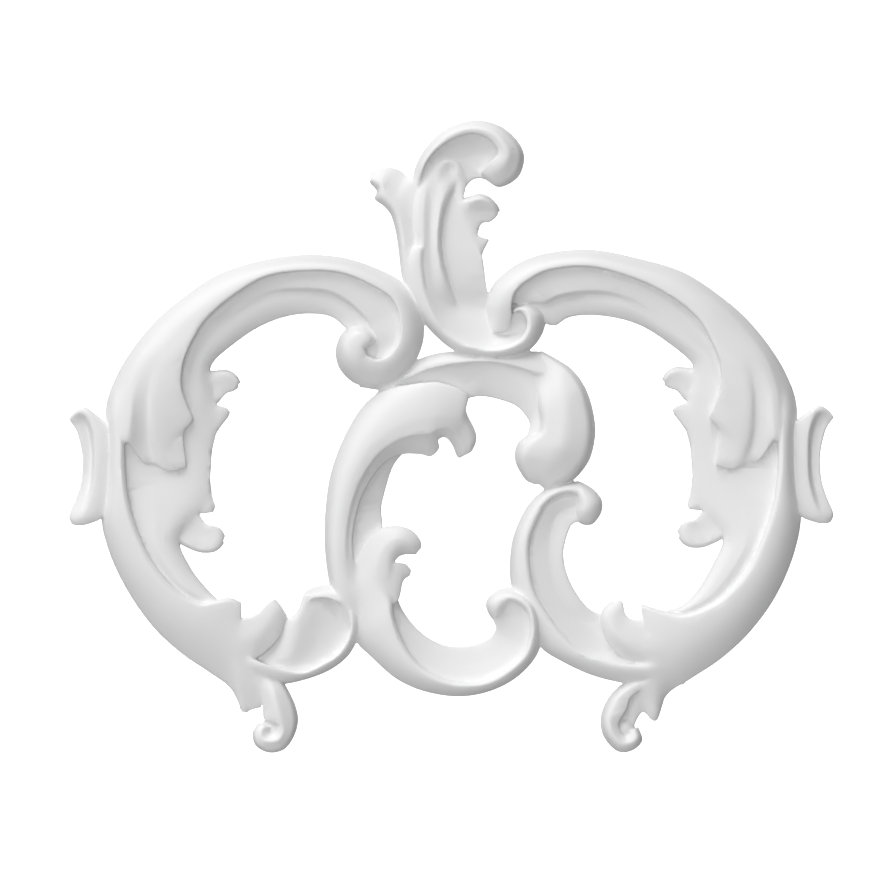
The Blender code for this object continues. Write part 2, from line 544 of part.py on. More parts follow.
def centre_scroll(casting):
    """The large central scroll: top arc and dome, the acanthus leaf at its left, and the bowl of the C."""
    arc = [
        [(370, 402), (380, 400)], [(383, 387), (392, 388)], [(402, 374), (408, 379)],
        [(420, 359), (428, 370)],
        [(450, 352), (452, 365)], [(485, 356), (485, 362)], [(515, 353), (512, 366)],
        [(540, 352), (533, 373)],
        [(556, 360), (548, 377)],
    ]
    casting.loft(arc, (EDGE, (6, 9, 11, 12, 12, 12, 12, 12, 12)), (ROUND,))
    throat = [
        [(392, 386), (405, 398)], [(405, 376), (415, 394)], [(426, 367), (440, 394)],
        [(451, 362), (463, 398)],
        [(485, 358), (482, 396)], [(514, 362), (502, 400)], [(536, 369), (518, 407)],
        [(552, 386), (529, 421)],
        [(554, 412), (528, 433)], [(552, 440), (523, 443)],
    ]
    casting.loft(split(throat, (0, 0.2, 0.6, 1)),
                 ((11, 11.5, 11.5, 11.5, 11.5, 11, 11), (9, 9.5, 9.5, 9.8, 10, 10, 11),
                 (4.8, 5.5, 6.5, 8, 9, 10, 11), (4, 4, 4.5, 6, 7, 8, 9)), (LINE, FLOW, FLOW))
    dome = [
        [(541, 351), (541, 355), (541, 361), (541, 366), (541, 371)],
        [(556, 359), (556, 365), (552, 372), (546, 379), (539, 386)],
        [(571, 369), (567, 375), (559, 383), (549, 391), (538, 398)],
        [(584, 386), (577, 391), (564, 397), (550, 404), (539, 410)],
        [(592, 408), (582, 411), (566, 414), (551, 418), (540, 421)],
        [(595, 432), (584, 433), (565, 433), (548, 433), (536, 432)],
        [(591, 455), (581, 452), (560, 447), (538, 442), (526, 436)],
        [(584, 468), (574, 462), (556, 455), (531, 449), (518, 443)],
        [(574, 479), (566, 471), (551, 462), (528, 456), (515, 453)],
        [(561, 487), (556, 477), (546, 467), (528, 463), (516, 463)],
        [(551, 490), (547, 481), (541, 473), (530, 470), (521, 473)],
        [(547, 490), (544, 484), (539, 479), (532, 477), (526, 480)],
        [(545, 490), (543, 487), (540, 485), (538, 484), (534, 484)],
    ]
    casting.loft(dome, (EDGE, (9, 12.5, 15, 17, 17.5, 17.5, 16.5, 15.5, 14.5, 13, 11.5, 9.5, 7),
                        (9.5, 14, 17.5, 19.5, 20.2, 20.3, 19.5, 18, 16.5, 15, 13, 10.5, 7),
                        (9.5, 12, 14, 15.5, 16.2, 16, 15.5, 15, 14.5, 13, 11.5, 9.5, 7),
                        (9, 9, 9, 9.3, 9.3, 7, 5, 5, 5, 5, 5, 5, 5)), (ROUND, FLOW, FLOW, FLOW))
    leaf = [
        [(345, 628), (352, 628), (360, 628), (363, 627), (366, 626)],
        [(335, 604), (348, 602), (357, 599), (360, 598), (364, 596)],
        [(329, 580), (342, 579), (349, 578), (352, 577), (356, 572)],
        [(325, 545), (339, 543), (346, 541), (349, 541), (352, 540)],
        [(326, 507), (343, 507), (351, 506), (354, 506), (358, 506)],
        [(332, 470), (353, 475), (362, 477), (365, 478), (370, 480)],
        [(347, 432), (369, 447), (378, 454), (380, 456), (386, 461)],
        [(367, 402), (389, 430), (396, 441), (397, 444), (403, 454)],
        [(390, 389), (407, 421), (412, 435), (413, 438), (420, 454)],
        [(417, 384), (422, 416), (427, 434), (428, 437), (431, 456)],
        [(426, 383), (430, 416), (433, 432), (434, 435), (439, 448)],
        [(440, 383), (439, 414), (438, 429), (438, 432), (438, 440)],
        [(458, 389), (451, 415), (447, 428), (446, 431), (444, 437)],
        [(468, 397), (461, 417), (454, 431), (453, 434), (449, 440)],
        [(466, 411), (464, 424), (459, 437), (457, 440), (453, 446)],
        [(475, 431), (469, 437), (463, 446), (461, 449), (456, 454)],
        [(476, 441), (470, 446), (464, 451), (462, 453), (457, 456)],
        [(472, 451), (469, 453), (465, 455), (463, 456), (459, 458)],
    ]
    levels = (
        (4, 5, 5, 5, 5, 5, 5, 6, 9, 12.5, 12.8, 13, 12, 10.5, 8.5, 6.5, 6, 6),
        (8, 12, 13.5, 14.5, 15.5, 16.5, 17.5, 18.4, 18.8, 18.8, 18.6, 18.2, 17, 15.5, 13.5, 11.5, 10.5, 9),
        (8, 12, 13.4, 14.5, 15.4, 16.2, 17, 17.6, 17.8, 17.6, 17.2, 16.8, 15.8, 14.5, 12.5, 11, 10, 8.5),
        (7.5, 11.5, 12.4, 12.8, 13, 13.6, 14.6, 15.2, 15.6, 15.4, 15, 14.6, 13.8, 12.6, 11, 9.5, 8.8, 8),
        (7, 11, 12, 12.4, 12.4, 12, 11, 9, 8, 8, 9, 10, 10, 9, 7, 6, 5.5, 5.5),
    )
    casting.loft(leaf, levels, (ROUND, LINE, LINE, LINE))
    inner = [
        [(346, 575), (362, 566)], [(347, 536), (381, 529)], [(350, 512), (381, 508)],
        [(358, 491), (387, 483)],
        [(372, 468), (393, 466)], [(386, 456), (401, 455)],
    ]
    casting.loft(inner, ((8, 9.5, 10, 10, 10, 9), (8, 7, 6, 6, 6, 6)), (LINE,))
    body = [
        [(330, 560), (348, 560)], [(332, 584), (372, 574)], [(343, 617), (390, 596)],
        [(357, 642), (393, 613)],
        [(371, 656), (399, 632)], [(396, 678), (410, 653)], [(425, 691), (427, 670)],
        [(460, 696), (455, 681)],
        [(492, 690), (484, 680)], [(519, 675), (508, 667)], [(538, 652), (524, 651)],
        [(541, 626), (530, 630)],
        [(534, 602), (527, 611)], [(516, 589), (517, 602)], [(498, 590), (508, 601)],
        [(486, 604), (505, 609)],
    ]
    casting.loft(rimmed(body), (EDGE, (8, 12.5, 14, 15, 15, 15, 15, 15, 15, 15, 15, 16, 16, 15, 14, 12),
                                (8, 12, 12.5, 13, 13, 13, 13, 13, 13, 13, 13, 14, 14, 13.5, 13, 11)),
                                (ROUND, LINE))
    lobe = [
        [(346, 580), (356, 598), (370, 618)], [(357, 557), (371, 578), (387, 600)],
        [(367, 542), (378, 560), (392, 585)], [(380, 529), (386, 544), (393, 566)],
        [(397, 526), (397, 538), (398, 557)], [(411, 530), (407, 540), (405, 554)],
        [(420, 540), (414, 545), (412, 554)], [(421, 548), (418, 551), (416, 554)],
    ]
    casting.loft(lobe,
                 ((9, 12, 12.2, 12, 11.8, 11.5, 10.5, 9), (9, 13, 13.8, 14.2, 14.2, 13.4, 12, 9),
                  (8, 12.5, 12, 10, 8, 7, 7, 7)),
                 (FLOW, FALL))
    tooth = [[(378, 566), (378, 612)], [(394, 563), (397, 600)], [(405, 564), (403, 581)],
             [(411, 570), (410, 575)]]
    casting.loft(tooth, ((9, 11.5, 10, 8.5), (9, 10.5, 9.4, 8)), (LINE,))
    bowl = [
        [(394, 584), (397, 598)], [(393, 610), (403, 611)], [(397, 628), (415, 627)],
        [(409, 652), (430, 639)],
        [(427, 670), (447, 646)], [(455, 681), (463, 647)], [(484, 680), (478, 644)],
        [(508, 667), (491, 637)],
        [(524, 651), (496, 628)], [(530, 630), (493, 618)], [(528, 611), (497, 613)],
        [(518, 601), (497, 607)],
        [(508, 598), (500, 602)],
    ]
    casting.loft(split(bowl, (-0.2, 0.2, 0.55, 1)),
                 (10.5, 8.8, (8, 7.8, 7.6, 7.5, 7.5, 8, 8), (6, 6.2, 6.5, 6.5, 6.5, 7, 7)),
                 (LINE, FLOW, FLOW))
    casting.boss([(486, 605), (492, 594), (505, 590), (514, 598), (508, 606), (504, 614), (493, 619)],
                 (498, 603), EDGE, 14.0)


def right_scroll(casting):
    """The C scroll right of the centre, which runs into the foot of the right ring."""
    band = [
        [(594, 490), (580, 499)], [(578, 482), (574, 493)], [(560, 485), (560, 494)],
        [(543, 491), (546, 503)],
        [(527, 507), (536, 521)], [(514, 535), (529, 541)], [(510, 562), (529, 565)],
        [(512, 588), (534, 590)],
        [(524, 618), (546, 612)], [(540, 646), (561, 632)], [(560, 660), (581, 651)],
        [(590, 674), (608, 660)],
        [(620, 682), (636, 664)], [(652, 686), (656, 662)], [(684, 684), (680, 655)],
    ]
    casting.loft(rimmed(band), (EDGE, (13, 13, 13, 13, 13, 13, 13, 13, 13, 13, 13, 13, 12.8, 12, 8),
                                (12, 12, 12, 12, 12, 12, 12, 12, 12, 12, 12, 12, 12, 11.5, 7.5)),
                                (ROUND, LINE))
    throat = [
        [(583, 495), (584, 507), (584, 520)], [(574, 493), (575, 507), (573, 523)],
        [(560, 495), (563, 510), (568, 531)], [(547, 503), (555, 518), (564, 545)],
        [(535, 523), (550, 534), (563, 556)], [(529, 548), (548, 552), (566, 572)],
        [(531, 575), (551, 575), (574, 590)], [(541, 603), (562, 600), (588, 608)],
        [(561, 632), (580, 622), (604, 617)], [(585, 652), (600, 638), (618, 634)],
        [(608, 660), (618, 652), (632, 648)], [(634, 664), (642, 658), (652, 654)],
    ]
    casting.loft(channel(throat),
                 (11, (10, 10.2, 10.2, 10, 9.8, 9.6, 9, 7.5, 7), (9, 8.2, 8, 8.2, 8.6, 8.6, 7.6, 6.3, 6),
                                   (9, 8.2, 8, 8.2, 8.5, 8.4, 7.4, 6.2, 6),
                                   (8, 8.8, 8.8, 8.6, 8, 7.4, 6.6, 6, 6)),
                 (LINE, FLOW, FLOW, FLOW))
    casting.boss([(575, 482), (590, 487), (601, 499), (601, 512), (592, 524), (580, 523), (575, 512),
                  (576, 503)],
                 (588, 505), EDGE, 16.0)


def build_mesh():
    casting = Casting()
    ring(casting, LEFT_TOP, LEFT_TOP_FADE, LEFT_FOOT_BAND, LEFT_CHANNEL_TOP, LEFT_CHANNEL_END, as_drawn)
    ring(casting, RIGHT_TOP, RIGHT_TOP_FADE, RIGHT_FOOT_BAND, RIGHT_CHANNEL_TOP, RIGHT_CHANNEL_END, flip)
    for turn in (as_drawn, flip):
        palmette(casting, turn)
        clip(casting, turn)
    left_volute(casting)
    left_foot(casting)
    right_foot(casting)
    crest(casting)
    centre_scroll(casting)
    right_scroll(casting)
    return casting.mesh


def plaster():
    material = bpy.data.materials.new("primed_plaster")
    material.use_nodes = True
    shader = material.node_tree.nodes["Principled BSDF"]
    shader.inputs["Base Color"].default_value = (0.86, 0.86, 0.86, 1.0)
    shader.inputs["Roughness"].default_value = 0.5
    return material


def wall_block():
    """The block that saws the back of the casting flat."""
    bpy.ops.mesh.primitive_cube_add(size=1.0)
    block = bpy.context.object
    block.name = "wall_block"
    block.dimensions = (2 * WIDTH, WIDTH, 2 * WIDTH)
    block.location = (0.0, WIDTH / 2, 0.0)
    block.hide_render = True
    block.display_type = "WIRE"
    return block


def main():
    for thing in list(bpy.data.objects):
        bpy.data.objects.remove(thing, do_unlink=True)
    mesh = bpy.data.meshes.new("scroll_onlay")
    carving = build_mesh()
    carving.to_mesh(mesh)
    carving.free()
    onlay = bpy.data.objects.new("scroll_onlay", mesh)
    bpy.context.collection.objects.link(onlay)
    mesh.materials.append(plaster())
    saw = onlay.modifiers.new("flat_back", "BOOLEAN")
    saw.operation = "DIFFERENCE"
    saw.solver = "EXACT"
    saw.use_self = True
    saw.object = wall_block()


main()
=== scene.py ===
"""Visual model of the cast scroll onlay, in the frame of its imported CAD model.

The carving is drawn as in the CAD model, with finer facets and folds: on a sheet whose x runs right
and y runs down, in sheet units, with heights above the wall in millimetres. The limbs are fused into
one skin, which is softened where the real casting flows, and the result replaces the CAD node.
"""

import bmesh
import bpy
import numpy as np
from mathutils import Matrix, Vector
from mathutils.bvhtree import BVHTree


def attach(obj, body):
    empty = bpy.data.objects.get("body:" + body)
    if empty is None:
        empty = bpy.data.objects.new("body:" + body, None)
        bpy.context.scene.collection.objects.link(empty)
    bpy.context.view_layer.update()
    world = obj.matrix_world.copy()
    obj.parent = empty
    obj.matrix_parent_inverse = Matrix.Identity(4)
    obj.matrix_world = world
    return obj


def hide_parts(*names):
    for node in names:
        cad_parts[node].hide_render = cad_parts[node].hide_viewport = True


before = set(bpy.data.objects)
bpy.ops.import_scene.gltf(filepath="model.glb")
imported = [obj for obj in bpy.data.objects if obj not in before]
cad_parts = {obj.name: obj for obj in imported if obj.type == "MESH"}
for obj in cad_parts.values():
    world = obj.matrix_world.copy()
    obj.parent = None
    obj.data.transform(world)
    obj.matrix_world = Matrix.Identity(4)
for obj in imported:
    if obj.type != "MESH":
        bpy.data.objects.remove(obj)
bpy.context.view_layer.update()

# Driving sizes, in metres.
WIDTH = 0.382
RELIEF = 0.022

# The drawing sheet: its span between the side clips, its full relief, the fixing point on it, and
# twice the x of the line the two rings mirror about.
SHEET_SPAN = 765.0
SHEET_RELIEF = 22.0
FIXING = (451.3, 372.0)
MIRROR_X = 902.6

# Profiles between two rails, as the slope at the start and at the end of the climb. A FLOW is a
# smooth curve through all the rails beside it.
ROUND = (2.6, 0.1)
SHOULDER = (1.3, 0.73)
FALL = (0.1, 2.6)
EASE = (0.0, 0.0)
LINE = (1.0, 1.0)
FLOW = (None, None)

# Longest facet along a limb in sheet units, and facets across each kind of profile.
PITCH = 2.5
PROFILE_STEPS = {ROUND: 14, SHOULDER: 10, FALL: 12, EASE: 8, LINE: 2, FLOW: 9}
BOSS_SIDES = 64
BOSS_RINGS = 12

# Heights shared by several limbs: an outer edge, a ring's crest, how far limbs reach behind the wall,
# and how much farther each one reaches than the one before.
EDGE = 5.0
CREST = 17.0
SUNK = -5.0
SINK_STEP = 0.02

# Widths across a band and its channel: the bevel along the crest, how far the channel is tucked
# under the crest, its groove, and half its crease.
RIM = 3.0
TUCK = 3.0
GROOVE = 6.0
CREASE = 1.5


def place(x, y, height):
    """A point of the drawing sheet in metres."""
    unit = WIDTH / SHEET_SPAN
    return ((x - FIXING[0]) * unit, -height * RELIEF / SHEET_RELIEF, (FIXING[1] - y) * unit)


def flip(ribs, drop=0.0):
    """The same ribs on the other side of the ornament, moved down by drop."""
    return [[(MIRROR_X - x, y + drop) for x, y in rib] for rib in ribs]


def as_drawn(ribs, drop=0.0):
    """The ribs of the left side, where they were drawn."""
    return ribs


def split(ribs, shares):
    """Ribs of two points, cut into more rails at the given shares of their width."""
    rows = []
    for (x0, y0), (x1, y1) in ribs:
        rows.append([(x0 + (x1 - x0) * s, y0 + (y1 - y0) * s) for s in shares])
    return rows


def rimmed(ribs):
    """Rails of a band from ribs of edge and crest: the edge, the bevel's start, and the crest."""
    rows = []
    for edge, crest in np.asarray(ribs, float):
        outward = (edge - crest) / np.linalg.norm(edge - crest)
        rows.append([edge, crest + RIM * outward, crest])
    return rows


def channel(ribs):
    """Rails of a channel from ribs of crest, crease and lip: under the crest, past its groove, and
    on both sides of the crease."""
    rows = []
    for crest, crease, lip in np.asarray(ribs, float):
        inward = (crease - crest) / np.linalg.norm(crease - crest)
        onward = (lip - crease) / np.linalg.norm(lip - crease)
        rows.append([crest - TUCK * inward, crest + GROOVE * inward, crease - CREASE * inward,
                     crease + CREASE * onward, lip])
    return rows


def spread(levels, count):
    """Heights spaced evenly over the given number of ribs."""
    levels = np.atleast_1d(levels)
    return np.interp(np.arange(count), np.linspace(0, count - 1, len(levels)), levels)


def curve(before, first, second, after, share):
    """A point on the smooth curve from first to second, at a share of the way."""
    slope, bend = second - before, 2 * before - 5 * first + 4 * second - after
    twist = 3 * (first - second) + after - before
    return 0.5 * (2 * first + slope * share + bend * share**2 + twist * share**3)


def smooth_line(points, places):
    """A smooth curve through the points, read at the given places, where 1.5 is midway from point 1 to 2."""
    points = np.asarray(points, float)
    padded = np.vstack([2 * points[0] - points[1], points, 2 * points[-1] - points[-2]])
    index = np.minimum(places.astype(int), len(points) - 2)
    return curve(*(padded[index + k] for k in range(4)), (places - index)[:, None])


def rise(profile, share):
    """How far along its climb a profile is at a share of the way between two rails."""
    start, end = profile
    return (start + end - 2) * share**3 + (3 - 2 * start - end) * share**2 + start * share


def between(rails, profiles, k, share):
    """The points at a share of the way from rail k to the next one."""
    first, second = rails[k], rails[k + 1]
    if profiles[k] is FLOW:
        before = rails[k - 1] if k and profiles[k - 1] is FLOW else 2 * first - second
        after = rails[k + 2] if k + 2 < len(rails) and profiles[k + 1] is FLOW else 2 * second - first
        return curve(before, first, second, after, share)
    points = first + (second - first) * share
    points[:, 2] = first[:, 2] + (second - first)[:, 2] * rise(profiles[k], share)
    return points


def surface(ribs, heights, profiles):
    """Grid of (x, y, height) points over a loft: stations along it, profile steps across it."""
    count = len(ribs)
    lines = np.asarray(ribs, float)
    spans = np.linalg.norm(np.diff(lines, axis=0), axis=2).max(axis=1)
    places = [k + np.arange(n) / n for k, n in enumerate(np.ceil(spans / PITCH).astype(int))]
    places = np.append(np.concatenate(places), count - 1)
    rails = []
    for rail, levels in zip(zip(*ribs), heights):
        rails.append(smooth_line(np.column_stack([rail, spread(levels, count)]), places))
    columns = [rails[0]]
    for k, profile in enumerate(profiles):
        steps = PROFILE_STEPS[profile]
        columns += [between(rails, profiles, k, share) for share in np.arange(1, steps + 1) / steps]
    return np.stack(columns, axis=1)


def turns_right(outline):
    """Whether a closed outline on the sheet runs clockwise as it is seen from the front."""
    following = np.roll(outline, -1, axis=0)
    return np.sum(outline[:, 0] * following[:, 1] - outline[:, 1] * following[:, 0]) > 0


class Casting:
    """All the limbs of the ornament, as closed solids in one mesh."""

    def __init__(self):
        self.mesh = bmesh.new()
        self.limbs = 0

    def sink(self):
        """How far behind the wall the next limb reaches; no two are level, so their ends never meet."""
        self.limbs += 1
        return SUNK - SINK_STEP * self.limbs

    def points(self, rows, height=None):
        new = self.mesh.verts.new
        return [[new(place(p[0], p[1], p[2] if height is None else height)) for p in row] for row in rows]

    def loft(self, ribs, heights, profiles):
        """One limb: its carved face over the ribs, with walls down to behind the wall plane."""
        grid = surface(ribs, heights, profiles)
        border = np.vstack([grid[0], grid[:, -1], grid[-1, ::-1], grid[::-1, 0]])
        if turns_right(border):
            grid = grid[::-1]
        top = self.points(grid)
        low = self.points(grid, self.sink())
        new = self.mesh.faces.new
        for i in range(len(top) - 1):
            for j in range(len(top[0]) - 1):
                new((top[i][j], top[i][j + 1], top[i + 1][j + 1], top[i + 1][j]))
                new((low[i][j], low[i + 1][j], low[i + 1][j + 1], low[i][j + 1]))
            new((top[i][0], top[i + 1][0], low[i + 1][0], low[i][0]))
            new((top[i][-1], low[i][-1], low[i + 1][-1], top[i + 1][-1]))
        for j in range(len(top[0]) - 1):
            new((top[0][j], low[0][j], low[0][j + 1], top[0][j + 1]))
            new((top[-1][j], top[-1][j + 1], low[-1][j + 1], low[-1][j]))

    def boss(self, outline, centre, edge, top):
        """A rounded boss over a closed outline, with its summit over centre."""
        corners = np.asarray(outline, float)
        looped = np.vstack([corners, corners[:1]])
        ends = np.vstack([corners[-1:], looped, corners[1:2]])
        places = 1 + np.arange(BOSS_SIDES) * len(corners) / BOSS_SIDES
        rim = smooth_line(ends, places)
        if not turns_right(rim):
            rim = rim[::-1]
        loops = self.points([rim], self.sink())
        summit = np.asarray(centre, float)
        for k in range(BOSS_RINGS):
            angle = 0.5 * np.pi * k / BOSS_RINGS
            ring = summit + (rim - summit) * np.cos(angle)
            loops += self.points([ring], edge + (top - edge) * np.sin(angle))
        floor, apex = self.points([[summit]], SUNK)[0][0], self.points([[summit]], top)[0][0]
        floor.co.y = loops[0][0].co.y
        new = self.mesh.faces.new
        for k in range(BOSS_SIDES):
            m = (k + 1) % BOSS_SIDES
            for lower, upper in zip(loops, loops[1:]):
                new((lower[k], upper[k], upper[m], lower[m]))
            new((loops[-1][k], apex, loops[-1][m]))
            new((loops[0][k], loops[0][m], floor))


# The upper bands of the side rings, as ribs of edge and crest, with how much of the full climb each
# band has along it: the right one rises out of the small volute. The shares cut a band into rails.
LEFT_TOP = [
    [(360, 387), (367, 356)], [(384, 389), (377, 360)], [(405, 376), (389, 356)], [(419, 354), (398, 344)],
    [(424, 330), (401, 328)], [(418, 300), (396, 305)], [(396, 278), (382, 291)], [(352, 260), (345, 274)],
    [(308, 255), (307, 271)], [(262, 261), (266, 277)], [(218, 275), (232, 297)],
]
RIGHT_TOP = [
    [(491, 334), (508, 330)], [(488, 318), (511, 318)], [(487, 303), (511, 305)], [(494, 284), (515, 292)],
    [(516, 265), (527, 281)], [(545, 254), (550, 270)], [(590, 250), (590, 267)], [(639, 259), (635, 279)],
    [(684, 273), (671, 297)],
]
LEFT_TOP_FADE = (1.0,)
RIGHT_TOP_FADE = (0.35, 0.7, 0.9, 1.0, 1.0, 1.0, 1.0, 1.0, 1.0)
TOP_SHARES = (0.0, 0.28, 0.46, 0.62, 0.75, 0.87, 1.0)

# The leaf at the end of each upper band, and the heights of its rails.
RING_LEAF = [
    [(178, 302), (184, 307), (189, 311), (194, 313), (198, 315), (202, 317), (207, 319)],
    [(150, 328), (160, 332), (167, 335), (174, 337), (181, 338), (187, 339), (194, 339)],
    [(126, 360), (138, 361), (145, 361), (151, 362), (157, 364), (165, 364), (184, 362)],
    [(111, 390), (127, 392), (134, 392), (141, 393), (149, 392), (156, 393), (182, 387)],
    [(106, 412), (124, 415), (132, 415), (139, 417), (148, 418), (156, 418), (188, 406)],
    [(107, 430), (123, 430), (131, 432), (139, 436), (149, 437), (158, 437), (193, 420)],
    [(107, 440), (124, 440), (130, 441), (140, 451), (152, 452), (163, 456), (184, 434)],
    [(107, 444), (125, 443), (131, 444), (144, 462), (155, 464), (170, 471), (187, 467)],
]
RING_LEAF_HEIGHTS = [
    (EDGE, EDGE, EDGE, EDGE, 4, 3, 3, 3),
    (12.0, 12.6, 13.6, 14.6, 15.0, 15.0, 14.8, 14.5),
    (14.6, 14.8, 15.0, 15.4, 15.8, 15.6, 15.0, 13.2),
    (16.0, 16.0, 15.7, 15.1, 14.2, 13.0, 11.8, 10.8),
    (16.6, 16.5, 16.1, 15.0, 13.2, 11.4, 10.6, 10.2),
    (16.9, 16.9, 16.7, 16.2, 15.2, 13.8, 12.2, 11.0),
    (CREST, CREST, CREST, 16.2, 14.8, 13.4, 12.0, 10.8),
]

# The lower bands of the side rings, as ribs of edge and crest.
RING_FOOT_BAND = [
    [(156, 335), (168, 345)], [(122, 371), (140, 382)], [(107, 405), (126, 412)], [(107, 440), (125, 443)],
    [(106, 480), (126, 477)], [(102, 519), (131, 508)],
]
LEFT_FOOT_BAND = [
    [(111, 555), (142, 540)], [(129, 592), (157, 567)], [(154, 627), (179, 591)], [(182, 653), (200, 602)],
    [(210, 672), (216, 600)], [(231, 688), (230, 598)], [(243, 712), (241, 602)],
]
RIGHT_FOOT_BAND = [
    [(792, 558), (760, 541)], [(774, 598), (746, 570)], [(749, 632), (723, 596)], [(721, 658), (702, 608)],
    [(691, 678), (683, 614)], [(667, 694), (664, 611)], [(655, 720), (641, 604)],
]
RING_FOOT_HEIGHTS = [
    (4, 4.5, 4, 3, 3, 4, EDGE, EDGE, EDGE, EDGE, EDGE, EDGE, EDGE),
    (10, 14, 15.5, 16, 16, 15.5, 15, 13),
    (8.5, 12.5, 14, 14.5, 14.5, 14, 13.5, 11.5),
]

# The channels inside the crests, as ribs of crest, crease and lip, and the heights of their rails.
LEFT_CHANNEL_TOP = [
    [(382, 363), (372, 362), (360, 361)], [(397, 349), (377, 351), (362, 350)],
    [(401, 331), (377, 338), (362, 342)], [(398, 312), (370, 324), (353, 334)],
    [(388, 296), (359, 312), (346, 328)], [(366, 282), (343, 299), (334, 318)],
    [(340, 273), (326, 292), (320, 314)], [(307, 271), (303, 290), (299, 314)],
    [(266, 277), (271, 293), (277, 319)], [(232, 297), (243, 309), (255, 329)],
    [(207, 319), (218, 330), (232, 345)],
]
RIGHT_CHANNEL_TOP = [
    [(512, 303), (525, 306), (538, 312)], [(515, 293), (531, 303), (546, 323)],
    [(527, 282), (545, 303), (556, 325)], [(551, 270), (559, 297), (567, 318)],
    [(584, 267), (583, 293), (583, 315)], [(616, 273), (609, 294), (606, 316)],
    [(648, 285), (638, 304), (632, 322)], [(680, 307), (666, 325), (656, 334)],
]
RING_CHANNEL = [
    [(190, 345), (201, 352), (214, 361)], [(180, 375), (192, 375), (210, 374)],
    [(168, 405), (190, 402), (214, 399)], [(137, 432), (172, 430), (217, 426)],
    [(126, 455), (165, 453), (212, 451)], [(127, 480), (165, 479), (210, 478)],
    [(131, 508), (160, 506), (205, 505)], [(142, 540), (158, 540), (180, 538)],
    [(157, 567), (170, 567), (190, 567)],
]
LEFT_CHANNEL_END = [[(179, 591), (190, 590), (206, 588)], [(202, 602), (209, 601), (217, 599)]]
RIGHT_CHANNEL_END = [
    [(724, 596), (712, 592), (697, 591)], [(702, 608), (692, 607), (681, 606)],
    [(684, 614), (676, 613), (667, 611)],
]
TOP_CHANNEL_HEIGHTS = [
    (9, 12.2, 13.0, 13.0, 12.8, 12.4),
    (9, 12.0, 12.8, 12.8, 12.6, 12.3),
    (8.8, 12.0, 12.8, 12.8, 12.0, 11.4),
    (8, 9.6, 9.2, 9.6, 11.0, 11.2),
    (7, 7.5, 7.5, 7.5, 7.5, 7.5),
]
RING_CHANNEL_HEIGHTS = [
    (12.4, 12.2, 11.3, 10.0, 9.2, 9.3, 10.0, 10.6, 10.8, 10.8, 10.5),
    (12.3, 12.0, 11.2, 9.9, 9.2, 9.2, 10.4, 11.4, 11.6, 11.4, 11.0),
    (11.4, 11.2, 10.8, 10.0, 9.4, 9.2, 10.8, 12.2, 12.4, 12.2, 11.4),
    (11.2, 11.0, 10.7, 10.0, 9.4, 9.2, 10.6, 12.0, 12.2, 12.0, 11.2),
    (7.5, 7.5, 7.5, 7.5, 7.5, 7.5, 7.5, 8.0, 8.5, 9.0, 9.0),
]
CHANNEL_PROFILES = (LINE, LINE, LINE, FALL)


def ring(casting, top, fade, foot_band, channel_top, channel_end, turn):
    """One side ring: its upper band and leaf, the lower band, and the sloping channel inside them."""
    levels = []
    for share, heights in zip(TOP_SHARES, RING_LEAF_HEIGHTS):
        climb = (CREST - EDGE) * rise(ROUND, share)
        levels.append([*(EDGE + climb * spread(fade, len(top))), *heights])
    casting.loft(split(top, TOP_SHARES) + turn(RING_LEAF, -2), levels,
                 (SHOULDER, FLOW, FLOW, FLOW, FLOW, FLOW))
    casting.loft(rimmed(turn(RING_FOOT_BAND, -1) + foot_band), RING_FOOT_HEIGHTS, (ROUND, LINE))
    levels = []
    for top_heights, heights in zip(TOP_CHANNEL_HEIGHTS, RING_CHANNEL_HEIGHTS):
        rest = spread(heights, len(RING_CHANNEL + channel_end))
        levels.append([*spread(top_heights, len(channel_top)), *rest])
    casting.loft(channel(channel_top + turn(RING_CHANNEL, -2) + channel_end), levels, CHANNEL_PROFILES)


def palmette(casting, turn):
    """The low lobes and teeth that stand on the inner lip of a ring."""
    upper = [
        [(192, 374), (194, 380), (198, 392), (200, 408)], [(214, 371), (214, 376), (215, 387), (216, 404)],
        [(227, 370), (226, 375), (225, 384), (225, 394)], [(236, 375), (234, 378), (233, 383), (233, 391)],
        [(241, 383), (239, 383), (238, 385), (238, 388)],
    ]
    levels = (
        5.5,
        (7, 8, 8.2, 8, 7.5),
        (7, 7.3, 7.4, 7.2, 7),
        (6.5, 7, 7, 6.5, 6),
    )
    casting.loft(turn(upper, -3), levels, (ROUND, FLOW, FLOW))
    tooth = [
        [(198, 400), (198, 462)], [(214, 404), (210, 458)], [(219, 406), (214, 438)],
        [(226, 408), (221, 426)], [(230, 412), (228, 417)],
    ]
    casting.loft(turn(tooth, -2), ((7, 7.9, 7.8, 7.4, 7), (7, 7.5, 7.4, 6.8, 6)), (LINE,))
    corner = [
        [(184, 468), (209, 470)], [(184, 495), (212, 495)], [(190, 506), (215, 506)],
        [(194, 514), (213, 512)],
    ]
    casting.loft(turn(corner, -3), (7.5, 7.0), (LINE,))
    lower = [
        [(172, 490), (166, 510), (160, 522), (156, 530)], [(188, 505), (180, 521), (174, 532), (172, 538)],
        [(199, 515), (193, 529), (187, 543), (185, 546)], [(206, 524), (203, 534), (200, 549), (200, 552)],
        [(214, 526), (212, 535), (212, 549), (213, 552)], [(221, 529), (219, 536), (219, 545), (220, 548)],
        [(225, 536), (224, 538), (223, 541), (224, 543)],
    ]
    levels = (
        (6, 7.2, 8, 8, 8, 7.5, 6.5),
        (6.5, 7.4, 7.2, 7.2, 7.6, 7.8, 7),
        (7, 7.8, 8.0, 8.0, 8.0, 7.8, 7),
        6.0,
    )
    casting.loft(turn(lower, -5), levels, (FLOW, FLOW, FALL))


